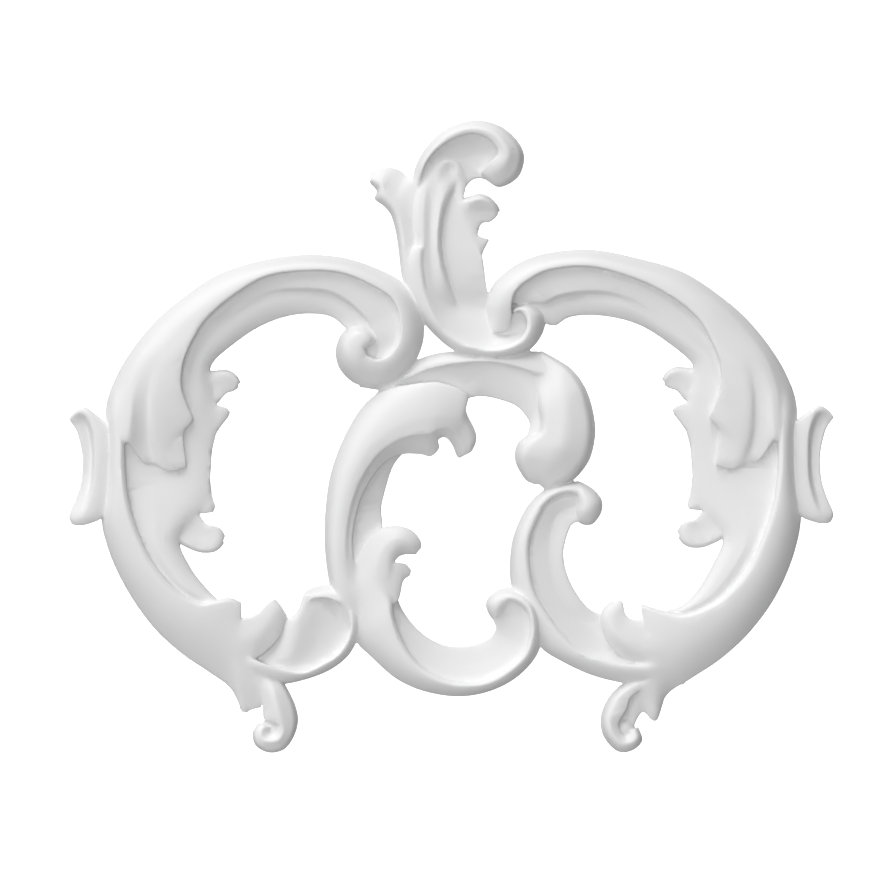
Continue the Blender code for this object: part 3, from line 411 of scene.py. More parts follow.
def clip(casting, turn):
    """The bracket-shaped clip on the outside of a ring: a shallow recess inside a broad rim."""
    ribs = [
        [(74, 413), (78, 410), (82, 408), (87, 408), (91, 411)],
        [(70, 419), (74, 415), (80, 413), (90, 414), (104, 421)],
        [(73, 424), (77, 423), (84, 420), (92, 424), (108, 426)],
        [(78, 433), (82, 433), (89, 434), (95, 435), (109, 436)],
        [(83, 456), (86, 456), (91, 456), (96, 456), (109, 456)],
        [(82, 480), (85, 480), (90, 480), (95, 480), (109, 481)],
        [(77, 498), (80, 498), (85, 499), (91, 500), (107, 503)],
        [(70, 515), (74, 516), (79, 516), (85, 517), (101, 518)],
        [(72, 523), (75, 525), (79, 525), (84, 525), (91, 523)],
    ]
    levels = (
        (5.5, 6, 5, 5, 5, 5, 5.5, 6, 5.5),
        (6.5, 6.5, 5.0, 4.6, 4.6, 4.8, 5.6, 7, 6.5),
        (7.5, 7.5, 4.6, 3.8, 3.8, 4.4, 6.0, 8, 7),
        (7.5, 8.8, 9, 9.2, 9.4, 9.2, 9, 8.6, 7),
        (6.5, 7, 7.8, 8, 8, 7.6, 7, 6.5, 6),
    )
    casting.loft(turn(ribs, -2), levels, (LINE, LINE, EASE, FALL))


def left_volute(casting):
    """The ball that the left ring rolls up into."""
    ball = [
        [(374, 388), (372, 358)], [(362, 386), (364, 357)], [(350, 380), (359, 356)],
        [(339, 367), (355, 352)], [(336, 350), (353, 347)], [(342, 334), (354, 342)],
        [(355, 325), (358, 340)], [(368, 328), (363, 341)], [(375, 336), (366, 343)],
        [(375, 342), (366, 346)], [(367, 347), (363, 348)],
    ]
    levels = (
        (5, 5, 5, 5, 5, 5, 6, 8, 10, 11, 12),
        (16, 17.2, 17.8, 18, 18, 17.8, 17.4, 16.6, 15.5, 14.5, 13.5),
    )
    casting.loft(ball, levels, (ROUND,))
    outline = [(350, 337), (359, 332), (368, 335), (371, 342), (365, 348), (366, 356), (358, 361), (349, 352)]
    casting.boss(outline, (357, 346), 16.6, 18.2)
    casting.boss([(364, 346), (377, 339), (392, 344), (390, 355), (373, 358)], (378, 350), EDGE, 9.5)


def left_foot(casting):
    """The lower left leaf tip, the shell scoop and the scroll foot under them."""
    leaf = [
        [(200, 618), (204, 640), (208, 660)], [(222, 618), (226, 642), (230, 664)],
        [(240, 619), (246, 640), (251, 658)], [(257, 614), (262, 632), (262, 654)],
        [(268, 603), (273, 618), (279, 637)], [(275, 599), (281, 606), (287, 616)],
    ]
    levels = (
        (8, 12, 12.6, 12.4, 11.6, 11),
        (8, 11.5, 12.8, 12.8, 12.2, 11.2),
        (7, 10, 10.8, 10.2, 10, 9.5),
    )
    casting.loft(leaf, levels, (FLOW, FLOW))
    rim = [
        [(296, 622), (301, 624)], [(300, 606), (308, 604)], [(308, 590), (316, 598)],
        [(330, 585), (330, 598)], [(348, 593), (341, 604)], [(360, 608), (350, 615)],
        [(360, 630), (350, 634)], [(350, 653), (339, 653)], [(331, 669), (322, 664)],
        [(306, 679), (303, 672)], [(280, 684), (282, 668)], [(261, 682), (264, 663)],
        [(246, 674), (250, 657)], [(236, 668), (241, 652)],
    ]
    casting.loft(rim, (EDGE, (8, 10.5, 11.5, 12, 12, 12, 12, 12, 12, 12, 12, 12, 11.5, 8)), (ROUND,))
    shell = [
        [(303, 597), (308, 594), (325, 591), (350, 600)], [(297, 612), (303, 611), (325, 611), (354, 621)],
        [(285, 621), (297, 626), (322, 632), (353, 643)], [(278, 634), (293, 644), (314, 652), (338, 661)],
        [(264, 648), (283, 658), (294, 664), (307, 676)], [(247, 652), (257, 659), (263, 664), (270, 672)],
    ]
    levels = (
        (10, 9, 8.5, 7, 5.5, 5),
        (10.5, 10.6, 10.6, 10, 8.5, 5.5),
        (10, 8.8, 7.6, 7.2, 8, 6.5),
        (9.5, 7.6, 6.2, 5.8, 6.5, 7),
    )
    casting.loft(shell, levels, (FLOW, FLOW, FLOW))
    stem = [
        [(281, 678), (275, 676), (265, 674), (254, 672)], [(288, 690), (283, 690), (272, 689), (261, 690)],
        [(295, 705), (289, 705), (276, 704), (263, 706)], [(298, 720), (291, 720), (279, 718), (265, 719)],
        [(294, 736), (289, 733), (283, 729), (276, 723)], [(284, 749), (281, 744), (279, 738), (275, 731)],
        [(269, 752), (270, 746), (271, 740), (272, 734)], [(256, 745), (260, 742), (264, 738), (270, 733)],
        [(253, 733), (257, 732), (262, 731), (269, 730)], [(258, 723), (261, 724), (265, 725), (271, 727)],
    ]
    levels = (
        EDGE,
        (8, 10, 10.5, 10.5, 10.5, 10.5, 10.5, 10.5, 10, 9),
        (9, 12, 12.6, 12.4, 12, 12, 12, 11.5, 11, 10),
        (9, 8.4, 7.6, 8, 9.5, 8.5, 8, 8, 8, 9),
    )
    casting.loft(stem, levels, (ROUND, FLOW, FLOW))
    heel = [
        [(240, 708), (240, 680), (240, 640)], [(246, 712), (245, 680), (244, 642)],
        [(252, 709), (251, 681), (249, 648)], [(261, 707), (261, 684), (258, 660)],
    ]
    casting.loft(heel, ((4.5, 5, 5, 5), (9, 9.3, 9.2, 8.8), (11.4, 11.8, 11.2, 9)), (FLOW, FLOW))
    casting.boss([(264, 721), (281, 721), (287, 731), (278, 741), (265, 737)], (276, 729), 3.5, 8.0)


def right_foot(casting):
    """The hooked lower right leaf tip and the scroll foot under it."""
    hook = [
        [(690, 622), (690, 642), (690, 668)], [(664, 620), (664, 643), (664, 668)],
        [(642, 620), (643, 645), (644, 664)], [(631, 619), (627, 640), (622, 656)],
        [(625, 614), (615, 631), (609, 643)], [(623, 607), (611, 618), (601, 624)],
        [(622, 602), (610, 609), (602, 611)], [(620, 600), (615, 602), (610, 602)],
    ]
    levels = (
        (8, 13, 12.6, 12.2, 11.8, 11.5, 11, 10.5),
        (8, 12.8, 13.2, 13.6, 13.6, 13, 12, 10.5),
        (7, 9, 10, 8.4, 7.6, 7.6, 8, 8.6),
    )
    casting.loft(hook, levels, (FLOW, FALL))
    stem = [
        [(650, 672), (656, 677), (664, 680)], [(624, 683), (634, 686), (644, 688)],
        [(610, 696), (619, 697), (630, 697)], [(602, 712), (612, 711), (626, 708)],
        [(601, 727), (609, 722), (619, 720)], [(606, 740), (612, 732), (618, 726)],
        [(618, 751), (620, 742), (622, 734)], [(632, 750), (629, 742), (626, 736)],
        [(642, 740), (635, 737), (629, 733)], [(638, 727), (633, 729), (628, 729)],
    ]
    levels = (
        4.5,
        (8, 10.5, 11.5, 12, 12, 12, 11.5, 11, 10.5, 9),
        (7, 9.5, 10.5, 11, 10.5, 10, 9.5, 9, 8.5, 8),
    )
    casting.loft(stem, levels, (ROUND, FLOW))
    plate = [
        [(624, 688), (622, 732)], [(631, 686), (632, 730)], [(636, 684), (635, 722)],
        [(641, 682), (641, 712)], [(646, 680), (646, 713)], [(651, 678), (651, 719)],
        [(657, 676), (657, 719)], [(670, 672), (663, 702)],
    ]
    casting.loft(plate, ((7, 8, 9, 10, 10.5, 10.5, 10.5, 8), (6, 6, 6, 6, 6, 6, 5.5, 4)), (LINE,))
    casting.boss([(612, 721), (628, 718), (635, 730), (627, 741), (613, 736)], (625, 727), 3.5, 8.5)


def crest(casting):
    """The plume that crowns the ornament, the bowl under it, and the small volute at its right."""
    head = [
        [(408, 204), (420, 206)], [(411, 186), (421, 191)], [(416, 166), (423, 171)],
        [(427, 147), (433, 154)], [(447, 129), (451, 140)], [(474, 121), (471, 134)],
        [(499, 126), (487, 138)], [(517, 141), (496, 147)], [(524, 158), (498, 155)],
        [(518, 177), (491, 163)], [(500, 187), (485, 169)], [(486, 180), (481, 174)],
    ]
    levels = (
        EDGE,
        (6, 7.5, 9.5, 10, 11, 12, 13.5, 14.2, 14.2, 13.5, 12, 9),
        (6, 9, 12, 13, 13.5, 14.5, 16, 17, 17, 16, 13.5, 10),
        (5, 8, 12.5, 13.5, 13.5, 14, 15, 15.5, 15.5, 15, 13, 10),
    )
    casting.loft(split(head, (0, 0.3, 0.62, 1)), levels, (ROUND, FLOW, FLOW))
    hollow = [
        [(416, 200), (440, 208), (463, 205)], [(418, 186), (442, 192), (463, 195)],
        [(423, 166), (445, 175), (465, 188)], [(433, 150), (452, 164), (472, 180)],
        [(450, 136), (464, 158), (480, 178)], [(471, 131), (477, 155), (484, 179)],
        [(490, 134), (489, 156), (488, 178)], [(503, 149), (496, 160), (490, 174)],
    ]
    levels = (
        (9, 9.5, 10.5, 10.5, 10.5, 10.5, 11, 12),
        (8, 8.8, 8.8, 8.0, 7.0, 6.6, 7, 9),
        (6, 7, 7.4, 7.4, 7.0, 6.6, 6.2, 6),
    )
    casting.loft(hollow, levels, (LINE, FLOW))
    stem = [
        [(429, 171), (436, 165), (443, 162), (450, 161), (457, 163), (460, 165), (464, 171)],
        [(423, 182), (431, 177), (439, 174), (448, 174), (457, 174), (461, 175), (466, 181)],
        [(417, 192), (426, 189), (435, 187), (445, 187), (455, 187), (459, 188), (465, 190)],
        [(414, 202), (425, 199), (433, 198), (443, 197), (451, 198), (456, 198), (463, 199)],
        [(412, 213), (424, 211), (432, 209), (440, 208), (446, 210), (452, 210), (463, 210)],
        [(412, 234), (424, 233), (431, 232), (437, 232), (442, 232), (448, 232), (474, 232)],
        [(414, 257), (424, 256), (432, 256), (438, 256), (443, 257), (449, 257), (482, 257)],
        [(419, 284), (427, 283), (434, 282), (443, 281), (450, 283), (456, 283), (486, 285)],
        [(426, 306), (434, 304), (441, 303), (449, 302), (457, 303), (462, 303), (491, 304)],
        [(438, 328), (446, 325), (452, 323), (457, 321), (462, 318), (468, 318), (498, 319)],
    ]
    levels = (
        (8, 8.5, 9, 9, 9, 9, 8, 7.5, 7.5, 7),
        (9.4, 10.2, 11, 11.5, 12, 12.4, 12, 11.4, 10.2, 8),
        (10, 10.6, 10.8, 10.6, 10.6, 11, 11, 10.4, 8.6, 5),
        (10, 8, 11.5, 12.4, 12.4, 12.6, 12.4, 11.2, 7.4, 4.2),
        (9.4, 9.8, 8, 7, 6.6, 6.2, 6, 5.4, 4.4, 3.6),
        (9, 9, 9, 8.6, 8.4, 8.2, 8, 7, 4.6, 3.6),
        (8, 8, 9, 9.4, 9.8, 9.8, 9.6, 7.8, 4.4, 3),
    )
    casting.loft(stem, levels, (ROUND, FLOW, FLOW, FALL, FLOW, FLOW))
    outline = [(437, 183), (444, 179), (452, 183), (453, 190), (446, 196), (438, 191)]
    casting.boss(outline, (445, 187), 6.0, 12.0)
    lobe = [
        [(446, 208), (448, 214), (450, 228), (450, 250)], [(463, 199), (463, 205), (466, 222), (470, 246)],
        [(472, 196), (472, 202), (474, 214), (476, 238)], [(480, 194), (480, 200), (480, 211), (481, 224)],
        [(489, 197), (488, 203), (487, 211), (489, 222)], [(497, 205), (495, 208), (494, 212), (495, 218)],
        [(500, 211), (498, 211), (498, 212), (498, 214)],
    ]
    levels = (
        (6, 7, 5, 5, 5, 5, 5),
        (7, 10, 11, 10.8, 10, 8.5, 6),
        (7, 9, 8.8, 8.2, 7.5, 7, 6),
        (7, 9.2, 9, 8, 7.2, 6.5, 6),
    )
    casting.loft(lobe, levels, (ROUND, FLOW, FLOW))
    tooth = [
        [(450, 244), (450, 268)], [(474, 236), (475, 264)], [(482, 238), (481, 258)],
        [(489, 240), (483, 251)],
    ]
    casting.loft(tooth, ((5, 8.2, 9, 8), (5, 8.2, 8.5, 7.5)), (LINE,))
    plume = [
        [(371, 173), (371, 179), (370, 183)], [(386, 168), (382, 184), (377, 191)],
        [(398, 170), (385, 193), (375, 199)], [(406, 176), (390, 201), (384, 206)],
        [(415, 182), (398, 212), (391, 215)], [(421, 205), (403, 230), (396, 232)],
        [(425, 235), (406, 252), (399, 253)], [(426, 258), (410, 274), (402, 277)],
        [(428, 276), (416, 292), (408, 292)],
    ]
    levels = (
        (5.5, 5.5, 5.5, 6, 8, 9, 9, 8, 7),
        (8, 10, 10.5, 10.8, 11, 11, 11, 10, 8),
        4.5,
    )
    casting.loft(plume, levels, (FLOW, FALL))
    strap = [
        [(408, 247), (424, 248)], [(401, 266), (423, 264)], [(406, 288), (427, 291)],
        [(416, 312), (437, 316)], [(435, 335), (450, 332)], [(457, 352), (468, 343)],
        [(484, 360), (488, 348)], [(508, 358), (506, 346)], [(529, 350), (521, 338)],
        [(542, 334), (527, 326)], [(545, 315), (525, 316)], [(532, 304), (519, 311)],
        [(515, 306), (513, 314)],
    ]
    levels = (
        EDGE,
        (13.5, 13.5, 13, 13, 13, 14, 14, 15, 16, 17, 17, 16, 14),
        (12.5, 12.5, 12, 12, 12, 12.5, 12.5, 13.5, 14.5, 15.5, 15.5, 14.5, 13),
    )
    casting.loft(rimmed(strap), levels, (ROUND, LINE))
    bowl = [
        [(424, 288), (455, 298), (492, 296)], [(434, 316), (464, 308), (497, 302)],
        [(449, 334), (474, 313), (502, 306)], [(467, 346), (485, 322), (507, 308)],
        [(488, 350), (499, 334), (512, 309)], [(509, 349), (513, 334), (519, 309)],
        [(527, 341), (527, 329), (530, 316)],
    ]
    levels = (
        12.5,
        (3.4, 3.8, 4.2, 4.6, 4.8, 5.4, 7),
        (3.4, 3.0, 3.2, 4.5, 6, 8, 9),
    )
    casting.loft(bowl, levels, (LINE, FLOW))
    casting.boss([(504, 300), (528, 297), (542, 312), (533, 332), (508, 334)], (522, 315), 3.0, 6.0)


def centre_scroll(casting):
    """The large central scroll: top arc and dome, the acanthus leaf at its left, and the bowl of the C."""
    arc = [
        [(370, 402), (380, 400)], [(383, 387), (392, 388)], [(402, 374), (408, 379)],
        [(420, 359), (428, 370)], [(450, 352), (452, 365)], [(485, 356), (485, 362)],
        [(515, 353), (512, 366)], [(540, 352), (533, 373)], [(556, 360), (548, 377)],
    ]
    casting.loft(arc, (EDGE, (6, 9, 11, 12, 12, 12, 12, 12, 12)), (ROUND,))
    throat = [
        [(392, 386), (405, 398)], [(405, 376), (415, 394)], [(426, 367), (440, 394)],
        [(451, 362), (463, 398)], [(485, 358), (482, 396)], [(514, 362), (502, 400)],
        [(536, 369), (518, 407)], [(552, 386), (529, 421)], [(554, 412), (528, 433)],
        [(552, 440), (523, 443)],
    ]
    levels = (
        (11, 11.5, 11.5, 11.5, 11.5, 11, 11),
        (9, 9.5, 9.5, 9.8, 10, 10, 11),
        (4.8, 5.5, 6.5, 8, 9, 10, 11),
        (4, 4, 4.5, 6, 7, 8, 9),
    )
    casting.loft(split(throat, (0, 0.2, 0.6, 1)), levels, (LINE, FLOW, FLOW))
    dome = [
        [(541, 351), (541, 355), (541, 361), (541, 366), (541, 371)],
        [(556, 359), (556, 365), (552, 372), (546, 379), (539, 386)],
        [(571, 369), (567, 375), (559, 383), (549, 391), (538, 398)],
        [(584, 386), (577, 391), (564, 397), (550, 404), (539, 410)],
        [(592, 408), (582, 411), (566, 414), (551, 418), (540, 421)],
        [(595, 432), (584, 433), (565, 433), (548, 433), (536, 432)],
        [(591, 455), (581, 452), (560, 447), (538, 442), (526, 436)],
        [(584, 468), (574, 462), (556, 455), (531, 449), (518, 443)],
        [(574, 479), (566, 471), (551, 462), (528, 456), (515, 453)],
        [(561, 487), (556, 477), (546, 467), (528, 463), (516, 463)],
        [(551, 490), (547, 481), (541, 473), (530, 470), (521, 473)],
        [(547, 490), (544, 484), (539, 479), (532, 477), (526, 480)],
        [(545, 490), (543, 487), (540, 485), (538, 484), (534, 484)],
    ]
    levels = (
        EDGE,
        (8.5, 11.5, 13.8, 15.6, 16.2, 16.4, 15.8, 15, 14, 12.8, 11.5, 9.5, 7),
        (9, 12.6, 15.6, 17.6, 18.4, 18.6, 18.4, 17.4, 16.2, 14.8, 13, 10.5, 7),
        (9.2, 12.2, 15, 16.8, 17.4, 17.2, 16.2, 15.4, 14.5, 13, 11.5, 9.5, 7),
        (9, 10.5, 11.5, 12, 11.5, 8.5, 5, 5, 5, 5, 5, 5, 5),
    )
    casting.loft(dome, levels, (ROUND, FLOW, FLOW, FALL))
    leaf = [
        [(345, 628), (352, 628), (360, 628), (363, 627), (366, 626)],
        [(335, 604), (348, 602), (357, 599), (360, 598), (364, 596)],
        [(329, 580), (342, 579), (349, 578), (352, 577), (356, 572)],
        [(325, 545), (339, 543), (346, 541), (349, 541), (352, 540)],
        [(326, 507), (343, 507), (351, 506), (354, 506), (358, 506)],
        [(332, 470), (353, 475), (362, 477), (365, 478), (370, 480)],
        [(347, 432), (369, 447), (378, 454), (380, 456), (386, 461)],
        [(367, 402), (389, 430), (396, 441), (397, 444), (403, 454)],
        [(390, 389), (407, 421), (412, 435), (413, 438), (420, 454)],
        [(417, 384), (422, 416), (427, 434), (428, 437), (431, 456)],
        [(426, 383), (430, 416), (433, 432), (434, 435), (439, 448)],
        [(440, 383), (439, 414), (438, 429), (438, 432), (438, 440)],
        [(458, 389), (451, 415), (447, 428), (446, 431), (444, 437)],
        [(468, 397), (461, 417), (454, 431), (453, 434), (449, 440)],
        [(466, 411), (464, 424), (459, 437), (457, 440), (453, 446)],
        [(475, 431), (469, 437), (463, 446), (461, 449), (456, 454)],
        [(476, 441), (470, 446), (464, 451), (462, 453), (457, 456)],
        [(472, 451), (469, 453), (465, 455), (463, 456), (459, 458)],
    ]
    levels = (
        (4, 5, 5, 5, 5, 5, 5, 7, 12.5, 15.5, 15.8, 15.6, 14.5, 12.5, 9, 6.5, 6, 6),
        (8, 12, 13.5, 14.5, 15.5, 16.5, 17.5, 18.4, 18.8, 18.8, 18.6, 18.2, 17, 15.5, 13.5, 11.5, 10.5, 9),
        (8, 12, 13.4, 14.5, 15.4, 16.2, 17.1, 17.8, 18.1, 17.9, 17.6, 17.2, 16.2, 14.8, 12.8, 11, 10, 8.5),
        (7.5, 11.5, 12.4, 12.8, 13, 13.6, 14.6, 15.2, 15.6, 15.4, 15, 14.6, 13.8, 12.6, 11, 9.5, 8.8, 8),
        (7, 11, 12, 12.4, 12.4, 12, 11, 9, 8, 8, 9, 10, 10, 9, 7, 6, 5.5, 5.5),
    )
    casting.loft(leaf, levels, (ROUND, EASE, LINE, LINE))
    inner = [
        [(346, 575), (362, 566)], [(347, 536), (381, 529)], [(350, 512), (381, 508)],
        [(358, 491), (387, 483)], [(372, 468), (393, 466)], [(386, 456), (401, 455)],
    ]
    casting.loft(inner, ((8, 9.5, 10, 10, 10, 9), (8, 7, 6, 6, 6, 6)), (LINE,))
    body = [
        [(330, 560), (348, 560)], [(332, 584), (372, 574)], [(343, 617), (390, 596)],
        [(357, 642), (393, 613)], [(371, 656), (399, 632)], [(396, 678), (410, 653)],
        [(425, 691), (427, 670)], [(460, 696), (455, 681)], [(492, 690), (484, 680)],
        [(519, 675), (508, 667)], [(538, 652), (524, 651)], [(541, 626), (530, 630)],
        [(534, 602), (527, 611)], [(516, 589), (517, 602)], [(498, 590), (508, 601)],
        [(486, 604), (505, 609)],
    ]
    levels = (
        EDGE,
        (8, 12.5, 14, 15, 15, 15, 15, 15, 15, 15, 15, 16, 16, 15, 14, 12),
        (8, 12, 12.5, 13, 13, 13, 13, 13, 13, 13, 13, 14, 14, 13.5, 13, 11),
    )
    casting.loft(rimmed(body), levels, (ROUND, LINE))
    lobe = [
        [(346, 580), (356, 598), (370, 618)], [(357, 557), (371, 578), (387, 600)],
        [(367, 542), (378, 560), (392, 585)], [(380, 529), (386, 544), (393, 566)],
        [(397, 526), (397, 538), (398, 557)], [(411, 530), (407, 540), (405, 554)],
        [(420, 540), (414, 545), (412, 554)], [(421, 548), (418, 551), (416, 554)],
    ]
    levels = (
        (9, 10.8, 10.6, 10.8, 11.4, 11.5, 10.5, 9),
        (9, 12.6, 13.4, 14, 14.2, 13.4, 12, 9),
        (8, 10.6, 11.4, 11.4, 10, 8.4, 7.4, 7),
    )
    casting.loft(lobe, levels, (FLOW, FALL))
    tooth = [
        [(385, 568), (385, 606)], [(395, 563), (398, 600)], [(405, 564), (403, 581)],
        [(411, 570), (410, 575)],
    ]
    casting.loft(tooth, ((12.6, 11.6, 10.2, 8.8), (12.6, 11.0, 9.4, 8.2)), (LINE,))
    bowl = [
        [(394, 584), (397, 598)], [(393, 610), (403, 611)], [(397, 628), (415, 627)],
        [(409, 652), (430, 639)], [(427, 670), (447, 646)], [(455, 681), (463, 647)],
        [(484, 680), (478, 644)], [(508, 667), (491, 637)], [(524, 651), (496, 628)],
        [(530, 630), (493, 618)], [(528, 611), (497, 613)], [(518, 601), (497, 607)],
        [(508, 598), (500, 602)],
    ]
    levels = (
        10.5,
        (9, 9, 9, 9, 9.4, 11, 13),
        (8, 7.6, 7.2, 7.2, 8, 10.4, 12.6),
        (6, 6, 5.8, 5.8, 7, 9.4, 12),
    )
    casting.loft(split(bowl, (-0.2, 0.2, 0.55, 1)), levels, (LINE, FLOW, FLOW))
    outline = [(486, 605), (492, 594), (505, 590), (514, 598), (508, 606), (504, 614), (493, 619)]
    casting.boss(outline, (498, 603), EDGE, 14.0)


def right_scroll(casting):
    """The C scroll right of the centre, which runs into the foot of the right ring."""
    band = [
        [(594, 490), (580, 499)], [(578, 482), (574, 493)], [(560, 485), (560, 494)],
        [(543, 491), (546, 503)], [(527, 507), (536, 521)], [(514, 535), (529, 541)],
        [(510, 562), (529, 565)], [(512, 588), (534, 590)], [(524, 618), (546, 612)],
        [(540, 646), (561, 632)], [(560, 660), (581, 651)], [(590, 674), (608, 660)],
        [(620, 682), (636, 664)], [(652, 686), (656, 662)], [(684, 684), (680, 655)],
    ]
    levels = (
        EDGE,
        (13, 13, 13, 13, 13, 13, 13, 13, 13, 13, 13, 13, 12.8, 12, 8),
        (12, 12, 12, 12, 12, 12, 12, 12, 12, 12, 12, 12, 12, 11.5, 7.5),
    )
    casting.loft(rimmed(band), levels, (ROUND, LINE))
    throat = [
        [(583, 495), (584, 507), (584, 520)], [(574, 493), (575, 507), (573, 523)],
        [(560, 495), (563, 510), (568, 531)], [(547, 503), (555, 518), (564, 545)],
        [(535, 523), (550, 534), (563, 556)], [(529, 548), (548, 552), (566, 572)],
        [(531, 575), (551, 575), (574, 590)], [(541, 603), (562, 600), (588, 608)],
        [(561, 632), (580, 622), (604, 617)], [(585, 652), (600, 638), (618, 634)],
        [(608, 660), (618, 652), (632, 648)], [(634, 664), (642, 658), (652, 654)],
    ]
    levels = (
        (10, 10, 10, 10, 10.2, 11, 11.5, 11.5, 10),
        (10, 10, 9.8, 9.7, 9.8, 9.8, 9.6, 8.6, 7),
        (9, 8.4, 8.2, 8.2, 8.4, 8, 6.4, 5, 5),
        (9, 8.2, 7.9, 8, 8.2, 7.8, 6.1, 4.8, 5),
        (8, 8.8, 8.8, 8.6, 8, 6.8, 5, 4, 4.5),
    )
    casting.loft(channel(throat), levels, (LINE, FLOW, FLOW, FLOW))
    outline = [(575, 482), (590, 487), (601, 499), (601, 512), (592, 524), (580, 523), (575, 512), (576, 503)]
    casting.boss(outline, (588, 505), EDGE, 16.0)


def build_mesh():
    """All the limbs; those that mirror about the ring line are drawn once and turned."""
    casting = Casting()
    ring(casting, LEFT_TOP, LEFT_TOP_FADE, LEFT_FOOT_BAND, LEFT_CHANNEL_TOP, LEFT_CHANNEL_END, as_drawn)
    ring(casting, RIGHT_TOP, RIGHT_TOP_FADE, RIGHT_FOOT_BAND, RIGHT_CHANNEL_TOP, RIGHT_CHANNEL_END, flip)
    for turn in (as_drawn, flip):
        palmette(casting, turn)
        clip(casting, turn)
    left_volute(casting)
    left_foot(casting)
    right_foot(casting)
    crest(casting)
    centre_scroll(casting)
    right_scroll(casting)
    return casting.mesh


# Places on the sheet where two forms flow into each other, as (x, y, radius).
BLENDS = [
    (225, 650, 34), (660, 650, 32), (445, 180, 14), (462, 325, 24), (365, 590, 30), (350, 575, 20),
    (195, 525, 14), (707, 520, 14), (214, 377, 12), (212, 408, 14), (210, 440, 16), (208, 472, 16),
    (207, 500, 12), (688, 374, 12), (690, 405, 14), (692, 437, 16), (694, 470, 16), (695, 497, 12),
    (470, 232, 20), (255, 688, 20), (655, 692, 18), (374, 374, 14), (543, 384, 12),
]

# Fusing: the size of the skin's quads, the share of one that walls move back out, how many of them the
# front may move to lie on the carved faces, and a depth in front of the whole ornament.
VOXEL = 0.0005
WALL_SHARE = 0.25
FRONT_REACH = 2
IN_FRONT = -1.0

# Softening: how much a face looks forward before it counts as front, the passes all over and those
# where forms flow together, and how near the wall the skin is laid flat on it.
FRONT_SLOPE = 0.15
OVERALL_PASSES = 2
BLEND_PASSES = 40
FLAT_BACK_SKIN = 0.0004

# Thinning: the triangles kept, and the angle in radians above which an edge stays sharp.
TRIANGLES = 190000
SHARP_ANGLE = 0.9

# Primer coat of the casting: drifts of shade and sheen, and the spray's grain.
COAT_SCALE = 40.0
COAT_DETAIL = 3.0
COAT_SHADES = (0.79, 0.82)
ROUGHNESS = (0.42, 0.58)
GRAIN_SCALE = 700.0
GRAIN_DETAIL = 2.0
GRAIN_STRENGTH = 0.5
GRAIN_DEPTH = 0.00002

# Studio: the floor and the lit backdrop as (name, size, place, tilt, shade, glow), the lights as
# (name, direction they shine from, strength, angle), and the strength of the air's own light.
SHEETS = (
    ("floor", 3.0, (0.0, 0.0, -2.0), (0.0, 0.0, 0.0), 0.6, 0.0),
    ("backdrop", 8.0, (0.0, 7.0, 2.0), (np.pi / 2, 0.0, 0.0), 0.9, 1.0),
)
SUNS = (
    ("key", (-0.35, -0.45, 1.0), 2.2, 0.9),
    ("left", (-1.0, -0.6, 0.1), 0.5, 1.0),
    ("front", (-0.1, -1.0, 0.05), 0.95, 0.5),
)
AIR_LIGHT = 0.2
WHITE = (1.0, 1.0, 1.0, 1.0)

# The camera stands where the photograph was taken from: straight in front of its middle.
PHOTO_SPAN = 890.0
PHOTO_MIDDLE = (445.0, 445.0)
CAMERA_DISTANCE = 4.0
SENSOR = 36.0


def fused(carving):
    """The limbs as one skin of small quads, and the limbs' own faces to measure heights on."""
    faces = BVHTree.FromBMesh(carving)
    mesh = bpy.data.meshes.new("carving")
    carving.to_mesh(mesh)
    carving.free()
    limbs = bpy.data.objects.new("carving", mesh)
    bpy.context.collection.objects.link(limbs)
    fuse = limbs.modifiers.new("fuse", "REMESH")
    fuse.mode = "VOXEL"
    fuse.voxel_size = VOXEL
    skin = bpy.data.meshes.new_from_object(limbs.evaluated_get(bpy.context.evaluated_depsgraph_get()))
    bpy.data.objects.remove(limbs, do_unlink=True)
    bpy.data.meshes.remove(mesh)
    return skin, faces


def read(items, attribute, width, kind=float):
    """An attribute of all the items as rows of the given width."""
    values = np.empty(len(items) * width, kind)
    items.foreach_get(attribute, values)
    return values.reshape(-1, width)


def settle(skin, faces):
    """Puts the skin's walls back where its small quads cut them short, and its front on the carved faces."""
    points = read(skin.vertices, "co", 3)
    normals = read(skin.vertices, "normal", 3)
    points[:, (0, 2)] += WALL_SHARE * VOXEL * normals[:, (0, 2)]
    for index in np.flatnonzero(normals[:, 1] < -FRONT_SLOPE):
        x, y, z = points[index]
        hit = faces.ray_cast((x, IN_FRONT, z), (0.0, 1.0, 0.0))[0]
        if hit and abs(hit.y - y) < FRONT_REACH * VOXEL:
            points[index, 1] = hit.y
    skin.vertices.foreach_set("co", points.ravel())
    skin.update()


def blend_share(points):
    """How much each point belongs to a place where two forms of the casting flow into each other."""
    unit = WIDTH / SHEET_SPAN
    share = np.zeros(len(points))
    for x, y, radius in BLENDS:
        centre = np.array([(x - FIXING[0]) * unit, (FIXING[1] - y) * unit])
        away = np.linalg.norm(points[:, (0, 2)] - centre, axis=1) / (radius * unit)
        share = np.maximum(share, np.clip(2 - 2 * away, 0, 1))
    return share


def sum_of_ties(values, first, second):
    """For each point, the sum of the values of the points it shares an edge with."""
    return np.bincount(first, values[second], len(values)) + np.bincount(second, values[first], len(values))


